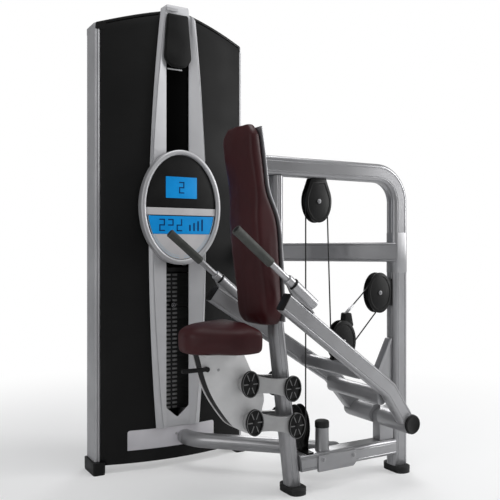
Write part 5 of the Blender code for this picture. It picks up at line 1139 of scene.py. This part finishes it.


# Cable. One black coated wire rope runs from the stack over the tower's hidden wheels, along the floor, up over the
# upper pulley, under the floating one, round the rear one and back to the block, where a plated ferrule ends it. It
# is drawn in seven lengths; the two round the floating block, and the ferrule, ride on the block.


def tangent(first, second):
    """The straight run between two circles, each given as centre, radius and turn (1 anticlockwise, -1 clockwise)."""
    (c1, r1, s1), (c2, r2, s2) = first, second
    span = Vector(c2) - Vector(c1)
    heading = math.atan2(span.y, span.x) + math.asin((s1 * r1 - s2 * r2) / span.length)
    normal = Vector((math.sin(heading), -math.cos(heading)))
    return Vector(c1) + normal * s1 * r1, Vector(c2) + normal * s2 * r2


def route(circles, step=6.0):
    """A flat route past circles; a circle of no radius is an end point."""
    points = [tangent(circles[0], circles[1])[0]]
    for i in range(1, len(circles) - 1):
        arrive = tangent(circles[i - 1], circles[i])[1]
        leave = tangent(circles[i], circles[i + 1])[0]
        middle, radius, way = circles[i]
        a = math.degrees(math.atan2(arrive.y - middle[1], arrive.x - middle[0]))
        b = math.degrees(math.atan2(leave.y - middle[1], leave.x - middle[0]))
        sweep = (b - a) * way % 360 * way
        points += arc(middle, radius, a, a + sweep, max(2, round(abs(sweep) / step)))
    points.append(tangent(circles[-2], circles[-1])[1])
    return [tuple(p) for p in points]


stem_top = IDLE_TOP + SELECTED_PLATES * PLATE_PITCH + 0.05
r, top_z_wheels = 0.03, 1.5
over_stack = route([((SPINE_X, stem_top + CLEAR), 0.0, 1), ((SPINE_X + r, top_z_wheels), r, -1),
    ((TOWER_PULLEY_X - r, top_z_wheels), r, -1), ((TOWER_PULLEY_X, 1.4), 0.0, 1)])
y, z = TOWER_PULLEY_YZ
along_floor = route([((STACK_Y, 1.4), 0.0, 1), ((y, z), r, -1), (LOWER_PULLEY_YZ, GROOVE_RADIUS, -1),
    ((0.0, 0.3), 0.0, 1)])
to_block = route([((LOWER_PULLEY_X, 0.3), 0.0, 1), (UPPER_PULLEY, GROOVE_RADIUS, -1),
    (FLOAT_PULLEY, GROOVE_RADIUS, 1), (REAR_PULLEY, GROOVE_RADIUS, 1), (FLOAT_HOOK, 0.0, 1)])
points = [(x, STACK_Y, h) for x, h in over_stack[1:]]
for depth, h in along_floor[1:-1]:
    share = min(1.0, max(0.0, (y - depth) / (y - LOWER_PULLEY_YZ[0])))
    points.append((TOWER_PULLEY_X + (LOWER_PULLEY_X - TOWER_PULLEY_X) * share, depth, h))
stack_end = (over_stack[0][0], STACK_Y, over_stack[0][1])
over_block = [(x, 0.0, h) for x, h in to_block]
gaps = [i for i, (a, b) in enumerate(zip(over_block, over_block[1:])) if (Vector(a) - Vector(b)).length > 0.03]
upper_off, float_off, rear_off = gaps[1], gaps[2], gaps[3]
points += over_block[1:upper_off + 1]


def rope(course):
    """A round rope along these points, closed at both ends."""
    curve = bpy.data.curves.new("cable", "CURVE")
    curve.dimensions = "3D"
    curve.bevel_depth = CABLE_RADIUS
    curve.bevel_resolution = 4
    curve.use_fill_caps = True
    spline = curve.splines.new("POLY")
    spline.points.add(len(course) - 1)
    for point, where in zip(spline.points, course):
        point.co = (*where, 1.0)
    return outward(taken(placed("cable", curve)))


def taut(name, fixed, carried, *bodies):
    """A straight length from a fixed point to a carried point, put on the frame and taken off it again; bodies is not
    used.
    """
    item = piece(name, rope([fixed, carried]), CORD)
    held = item.matrix_world.copy()
    item.parent = None
    item.matrix_world = held
    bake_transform(item)


def to_pin(fixed, wheel):
    """The run's line carried on, between the block's covers, to the point nearest the block's pin on the lever."""
    fixed, wheel, pin = Vector(fixed), Vector(wheel), Vector((UPPER_TUBE[0], 0.0, UPPER_TUBE[1]))
    heading = (wheel - fixed).normalized()
    return tuple(fixed + heading * (pin - fixed).dot(heading))


piece("lift_rope", rope(points), CORD, "lift_cable")
piece("rear_rope", rope(over_block[float_off + 1:rear_off + 1]), CORD)
piece("block_rope", rope(over_block[upper_off + 1:float_off + 1]), CORD, body="floating_block")
piece("hook_rope", rope(over_block[rear_off:rear_off + 2]), CORD, body="floating_block")
taut("stack_rope", points[0], stack_end, "frame", "lifted_stack")
taut("upper_rope", over_block[upper_off], to_pin(over_block[upper_off], over_block[upper_off + 1]),
    "frame", "press_lever")
taut("middle_rope", over_block[float_off + 1], to_pin(over_block[float_off + 1], over_block[float_off]),
    "frame", "press_lever")
hook = Vector((to_block[-1][0], 0, to_block[-1][1]))
pull = (Vector((to_block[-2][0], 0, to_block[-2][1])) - hook).normalized()
ferrule = turned([(0.0, -0.006), (0.0045, -0.006), (0.0055, -0.004), (0.0055, 0.016), (0.0045, 0.018),
    (0.004, 0.034), (CABLE_RADIUS + 0.0003, 0.036), (CABLE_RADIUS + 0.0003, 0.0355)], tuple(hook), 32,
    axis=tuple(pull))
piece("cable_ferrule", ferrule, CHROME, body="floating_block")

# Seat linkage. Two cast aluminium links, waisted between their round ends, hinge the seat to the column. Each pin has
# a black moulded oval cap at both ends, with a raised rim, a hub and six lighter spokes.
LINK_COLUMN_UPPER, LINK_COLUMN_LOWER = Vector((-0.038, 0.363)), Vector((-0.022, 0.239))
LINK_SEAT_UPPER, LINK_SEAT_LOWER = Vector((-0.2, 0.393)), Vector((-0.184, 0.269))
LINK_INNER, LINK_OUTER, LINK_END, LINK_WAIST = 0.0365, 0.054, 0.034, 0.0235
CAP_U, CAP_V, CAP_THICK = 0.0315, 0.043, 0.008
PIN_RADIUS, PIN_BORE = 0.009, 0.0096
FIN_INNER, FIN_OUTER = 0.024, 0.03

CAST = finish("light_cast_aluminium", "cecece", 0.48, 0.2, (16.0, "c8c8c8", "d4d4d4"), (20.0, 0.4, 0.54),
    (500.0, 0.45, 0.0004))
# The spokes and a thin band on each rim's face are coloured a lighter grey than the black cap.
SPOKE = finish("lighter_grey_cap_spokes", "8c8c8c", 0.42, 0.0, (50.0, "646464", "797979"), (50.0, 0.36, 0.48))
LINK_CAST = finish("grey_cast_aluminium", "a2a2a2", 0.44, 0.35, (16.0, "9c9c9c", "a9a9a9"), (20.0, 0.4, 0.5),
    (500.0, 0.45, 0.0004))


def link_outline(a, b):
    """Two round ends run into a waist by arcs that touch both."""
    run = (b - a).normalized()
    heading = math.degrees(math.atan2(run.y, run.x))
    reach = (b - a).length / 2
    fillet = (reach ** 2 + LINK_WAIST ** 2 - LINK_END ** 2) / (2 * (LINK_END - LINK_WAIST))
    tip = math.degrees(math.atan2(LINK_WAIST + fillet, reach))
    lift = Vector((-run.y, run.x)) * (LINK_WAIST + fillet)
    middle = (a + b) / 2
    far_end = arc(b, LINK_END, heading - 180 + tip, heading + 180 - tip, 32)
    near_end = arc(a, LINK_END, heading + tip, heading + 360 - tip, 32)
    above = arc(middle + lift, fillet, heading - tip, heading - 180 + tip, 16)[1:-1]
    below = arc(middle - lift, fillet, heading + 180 - tip, heading + tip, 16)[1:-1]
    return far_end + above + near_end + below


def bored(mesh, places, half):
    """The mesh with a hole for a pin at each place."""
    for u, v in places:
        mesh = carved(mesh, turned(corners(0.0, -half, PIN_BORE, half), (u, 0, v), 32))
    return mesh


for name, column_end, seat_end in (("upper", LINK_COLUMN_UPPER, LINK_SEAT_UPPER),
        ("lower", LINK_COLUMN_LOWER, LINK_SEAT_LOWER)):
    outline = link_outline(column_end, seat_end)
    middle = (column_end + seat_end) / 2
    parts = [bored(slab(outline, low, high, 0.003), (column_end, seat_end), 0.3)
        for low, high in ((-LINK_OUTER, -LINK_INNER), (LINK_INNER, LINK_OUTER))]
    parts.append(slab(rounded(corners(middle.x, middle.y - 0.012, middle.x + 0.022, middle.y + 0.012), 0.003),
        -LINK_INNER - 0.001, LINK_INNER + 0.001))
    piece(name + "_link_casting", merged(*parts), LINK_CAST, name + "_link",
        body=name + "_seat_link")

spoke = slab(rounded([(-0.0011, 0.007), (0.0011, 0.007), (0.0014, 0.028), (-0.0014, 0.028)], 0.0006), -0.0008,
    0.0008, 0.0004)
for name, body, centre in (("upper_column", "frame", LINK_COLUMN_UPPER),
        ("lower_column", "frame", LINK_COLUMN_LOWER), ("upper_seat", "seat", LINK_SEAT_UPPER),
        ("lower_seat", "seat", LINK_SEAT_LOWER)):
    parts, spokes = [], []
    for side in (-1, 1):
        face = LINK_OUTER + CLEAR
        low, high = span(side, face, face + 0.005)
        parts.append(slab(oval(centre, CAP_U - 0.0008, CAP_V - 0.0008), low, high, 0.0008, 2))
        low, high = span(side, face, face + CAP_THICK)
        parts.append(slab(oval(centre, CAP_U, CAP_V), low, high, 0.0012,
            hole=oval(centre, CAP_U * 0.83, CAP_V * 0.85)))
        low, high = span(side, face + 0.004, face + CAP_THICK - 0.0006)
        parts.append(slab(oval(centre, CAP_U * 0.27, CAP_V * 0.27), low, high, 0.001))
        turns = [(0.0, math.radians(60 * i + 30), 0.0) for i in range(6)]
        star = repeated([(0.0, 0.0, 0.0)] * 6, spoke.copy(), SPOKE, turns)
        spot = Matrix.Translation((centre[0], side * (face + 0.0058), centre[1]))
        star.transform(spot @ Matrix.Diagonal((0.95, 1, 1.3, 1)))
        spokes.append(star)
        # A thin band of the lighter grey on the rim's outer face.
        low, high = span(side, face + CAP_THICK - 0.001, face + CAP_THICK + 0.0002)
        spokes.append(slab(oval(centre, CAP_U * 0.975, CAP_V * 0.98), low, high, 0.0003,
            hole=oval(centre, CAP_U * 0.93, CAP_V * 0.945)))
    parts.append(turned(corners(0.0, -LINK_OUTER - 0.002, PIN_RADIUS, LINK_OUTER + 0.002),
        (centre[0], 0, centre[1]), 32))
    piece(name + "_cap", merged(*parts), PLASTIC, name + "_pin", body=body)
    piece(name + "_spokes", merged(*spokes), SPOKE, body=body)

# Seat bracket. Two cast fins with raised bosses round the pins are tied by a curved front web and the mounting plate
# that the seat is screwed to; a small screw shows in the near fin.
SEAT_BOTTOM_Z, SEAT_TOP_Z = 0.497, 0.592
plate_top = SEAT_BOTTOM_Z - CLEAR


def smooth_line(points, count=8):
    """A rounded line through points."""
    line = []
    for i in range(len(points) - 1):
        p0, p1, p2, p3 = (Vector(points[max(0, min(len(points) - 1, i + k))]) for k in (-1, 0, 1, 2))
        for k in range(count):
            t = k / count
            line.append(tuple(0.5 * (2 * p1 + (p2 - p0) * t + (2 * p0 - 5 * p1 + 4 * p2 - p3) * t * t
                + (3 * p1 - p0 - 3 * p2 + p3) * t ** 3)))
    return line + [tuple(points[-1])]


front_edge = smooth_line([(-0.37, plate_top), (-0.364, 0.486), (-0.341, 0.407), (-0.31, 0.3425), (-0.259, 0.272),
    (-0.23, 0.248), (-0.195, 0.23)])
rear_edge = smooth_line([(-0.16, 0.236), (-0.146, 0.262), (-0.14, 0.302), (-0.133, 0.34), (-0.15, 0.385),
    (-0.178, 0.425), (-0.204, 0.477), (-0.214, plate_top)])
places = (LINK_SEAT_UPPER, LINK_SEAT_LOWER)
parts = []
for side in (-1, 1):
    low, high = span(side, FIN_INNER, FIN_OUTER)
    parts.append(bored(slab(front_edge + rear_edge, low, high, 0.0014, 2), places, 0.3))
    for centre in places:
        parts.append(turned([(0.03, FIN_OUTER - 0.001), (0.03, LINK_INNER - 0.0015), (0.0288, LINK_INNER - CLEAR),
            (0.018, LINK_INNER - CLEAR), (0.017, LINK_INNER - 0.001), (PIN_BORE, LINK_INNER - 0.001),
            (PIN_BORE, FIN_OUTER - 0.001)], (centre[0], 0, centre[1]), 64, axis=(0, side, 0)))
inner = [(x + 0.008, z) for x, z in reversed(front_edge)]
web = slab([(x + 0.003, z) for x, z in front_edge] + inner, -FIN_INNER - 0.0004, FIN_INNER + 0.0004)
piece("fin_web", web, PLASTIC, body="seat")
parts.append(slab(rounded(corners(-0.36, -0.06, -0.216, 0.06), 0.01), plate_top - 0.006, plate_top, 0.0012,
    plane="XY"))
piece("seat_fins", merged(*parts), CAST, "seat_bracket", body="seat")
screws("fin_screws", [(-0.3, -FIN_OUTER - 0.0006, 0.4434)], 0.5, body="seat")

# Release lever. A short black bar with a rounded hand end pivots under the seat's front edge to free the height lock.
x, y, z = -0.344, -0.0365, 0.45
hub = turned(round_bar(0.008, -0.0065, 0.0065, 0.0008), (x, y, z))
handle = slab(rounded(corners(x - 0.085, z - 0.006, x, z + 0.006), 0.005), y - 0.0055, y + 0.0055, 0.002)
piece("release_handle", merged(hub, handle), PLASTIC, "seat_release_lever", body="release")

# Pads. Deep maroon vinyl is pulled over foam on a board. The skin is filled out by a cloth run and held within a few
# millimetres, so it stays full between the edges.
SEAT_FRONT_X, SEAT_REAR_X, SEAT_HALF_Y = -0.418, -0.186, 0.136
BACK_HALF_Y, PLATE_THICK = 0.1, 0.006
VOXEL, SWELL, CLOTH_FRAMES = 0.0055, 0.0035, 20

VINYL = finish("maroon_vinyl", "360f12", 0.5, 0.0, (8.0, "320d10", "3c1215"), (14.0, 0.42, 0.55),
    (520.0, 0.35, 0.0004), Specular_IOR_Level=0.28)


def upholstered(mesh, allowed):
    """Remesh a pad's block and let a cloth run fill it, no point moving further than allowed."""
    mesh = baked(mesh, ("REMESH", {"mode": "VOXEL", "voxel_size": VOXEL, "use_smooth_shade": True}))
    item = placed("pad", mesh)
    cloth = item.modifiers.new("Cloth", "CLOTH")
    cloth.settings.quality = 5
    cloth.settings.mass = 0.3
    cloth.settings.tension_stiffness = 40
    cloth.settings.compression_stiffness = 40
    cloth.settings.bending_stiffness = 4
    cloth.settings.use_pressure = True
    cloth.settings.uniform_pressure_force = 4.0
    cloth.settings.effector_weights.gravity = 0.0
    cloth.point_cache.frame_start, cloth.point_cache.frame_end = 1, CLOTH_FRAMES
    scene = bpy.context.scene
    for step in range(1, CLOTH_FRAMES + 1):
        scene.frame_set(step)
    filled = bpy.data.meshes.new_from_object(item.evaluated_get(bpy.context.evaluated_depsgraph_get()))
    scene.frame_set(1)
    for before, after in zip(mesh.vertices, filled.vertices):
        move = after.co - before.co
        after.co = before.co + move * min(1.0, allowed / max(move.length, 1e-9))
    bpy.data.objects.remove(item, do_unlink=True)
    return baked(filled, ("SMOOTH", {"factor": 0.5, "iterations": 4}), ("SUBSURF", {"levels": 1, "render_levels": 1}))


def seat_plan(inset):
    """Seat seen from above: a narrow nose, sides that flare and then run back."""
    front, rear, half = SEAT_FRONT_X + inset, SEAT_REAR_X - inset, SEAT_HALF_Y - inset
    nose, shoulder = 0.04 - inset * 0.35, front + 0.14
    return rounded([(front, -nose), (shoulder, -half), (rear, -half), (rear, half), (shoulder, half),
        (front, nose)], 0.028, 8)


rings = [[(x, y, z) for x, y in seat_plan(inset + 0.003)] for z, inset in ((SEAT_BOTTOM_Z + 0.002, 0.007),
    (SEAT_BOTTOM_Z + 0.009, 0.001), (SEAT_BOTTOM_Z + 0.02, 0.0), (SEAT_TOP_Z - 0.038, 0.0),
    (SEAT_TOP_Z - 0.028, 0.003), (SEAT_TOP_Z - 0.021, 0.01), (SEAT_TOP_Z - 0.013, 0.022),
    (SEAT_TOP_Z - 0.006, 0.04), (SEAT_TOP_Z - 0.002, 0.064))]
seat = piece("seat_cushion", upholstered(skin(rings), SWELL), VINYL, "seat_pad", body="seat",
    angle=70)

BACK_FRONT = ((0.577, -0.168), (0.6, -0.171), (0.83, -0.2), (0.92, -0.208), (0.985, -0.206), (1.04, -0.212),
    (1.14, -0.228), (1.222, -0.232))
BACK_REAR = ((0.577, -0.0985), (0.66, -0.0995), (0.756, -0.104), (0.88, -0.112), (0.93, -0.122), (1.006, -0.158),
    (1.12, -0.172), (1.222, -0.188))


def between(table, z):
    """Value at a height, on straight lines between (height, value) pairs."""
    for (z0, v0), (z1, v1) in zip(table, table[1:]):
        if z <= z1:
            return v0 + (v1 - v0) * max(0.0, (z - z0) / (z1 - z0))
    return table[-1][1]


def eased(table, z):
    """The same value with the table's corners rounded off."""
    return sum(between(table, z + 0.012 * k) for k in (-2, -1, 0, 1, 2)) / 5


low, high = BACK_FRONT[0][0], BACK_FRONT[-1][0]
rings = []
for t in evenly(0.0, 1.0, 60):
    z = low + (high - low) * t
    shrink = 1 - 0.22 * max(0.0, (0.06 - t) / 0.06) ** 2 - 0.3 * max(0.0, (t - 0.93) / 0.07) ** 2
    half = BACK_HALF_Y * shrink - 0.003
    rear = eased(BACK_REAR, z) - 0.0015
    depth = (rear - eased(BACK_FRONT, z)) * (0.45 + 0.55 * shrink) - 0.003
    front = rear - depth
    section = rounded([(rear, -half), (rear, half), (front + 0.006, half), (front, 0.0), (front + 0.006, -half)],
        min(0.016, depth * 0.45), 6)
    rings.append([(x, y, z) for x, y in section])
back = piece("back_cushion", upholstered(skin(rings), SWELL), VINYL, "backrest_pad", angle=70)

# Back plate. A pressed steel plate, silver coated, follows the pad's S bend behind it.
line = [(eased(BACK_REAR, z) + CLEAR * 3, z) for z in evenly(low + 0.012, high - 0.012, 40)]
outline = line + [(x + PLATE_THICK, z) for x, z in reversed(line)]
piece("back_plate", slab(outline, -BACK_HALF_Y + 0.004, BACK_HALF_Y - 0.004, 0.001, 2), COAT,
    "backrest_plate")
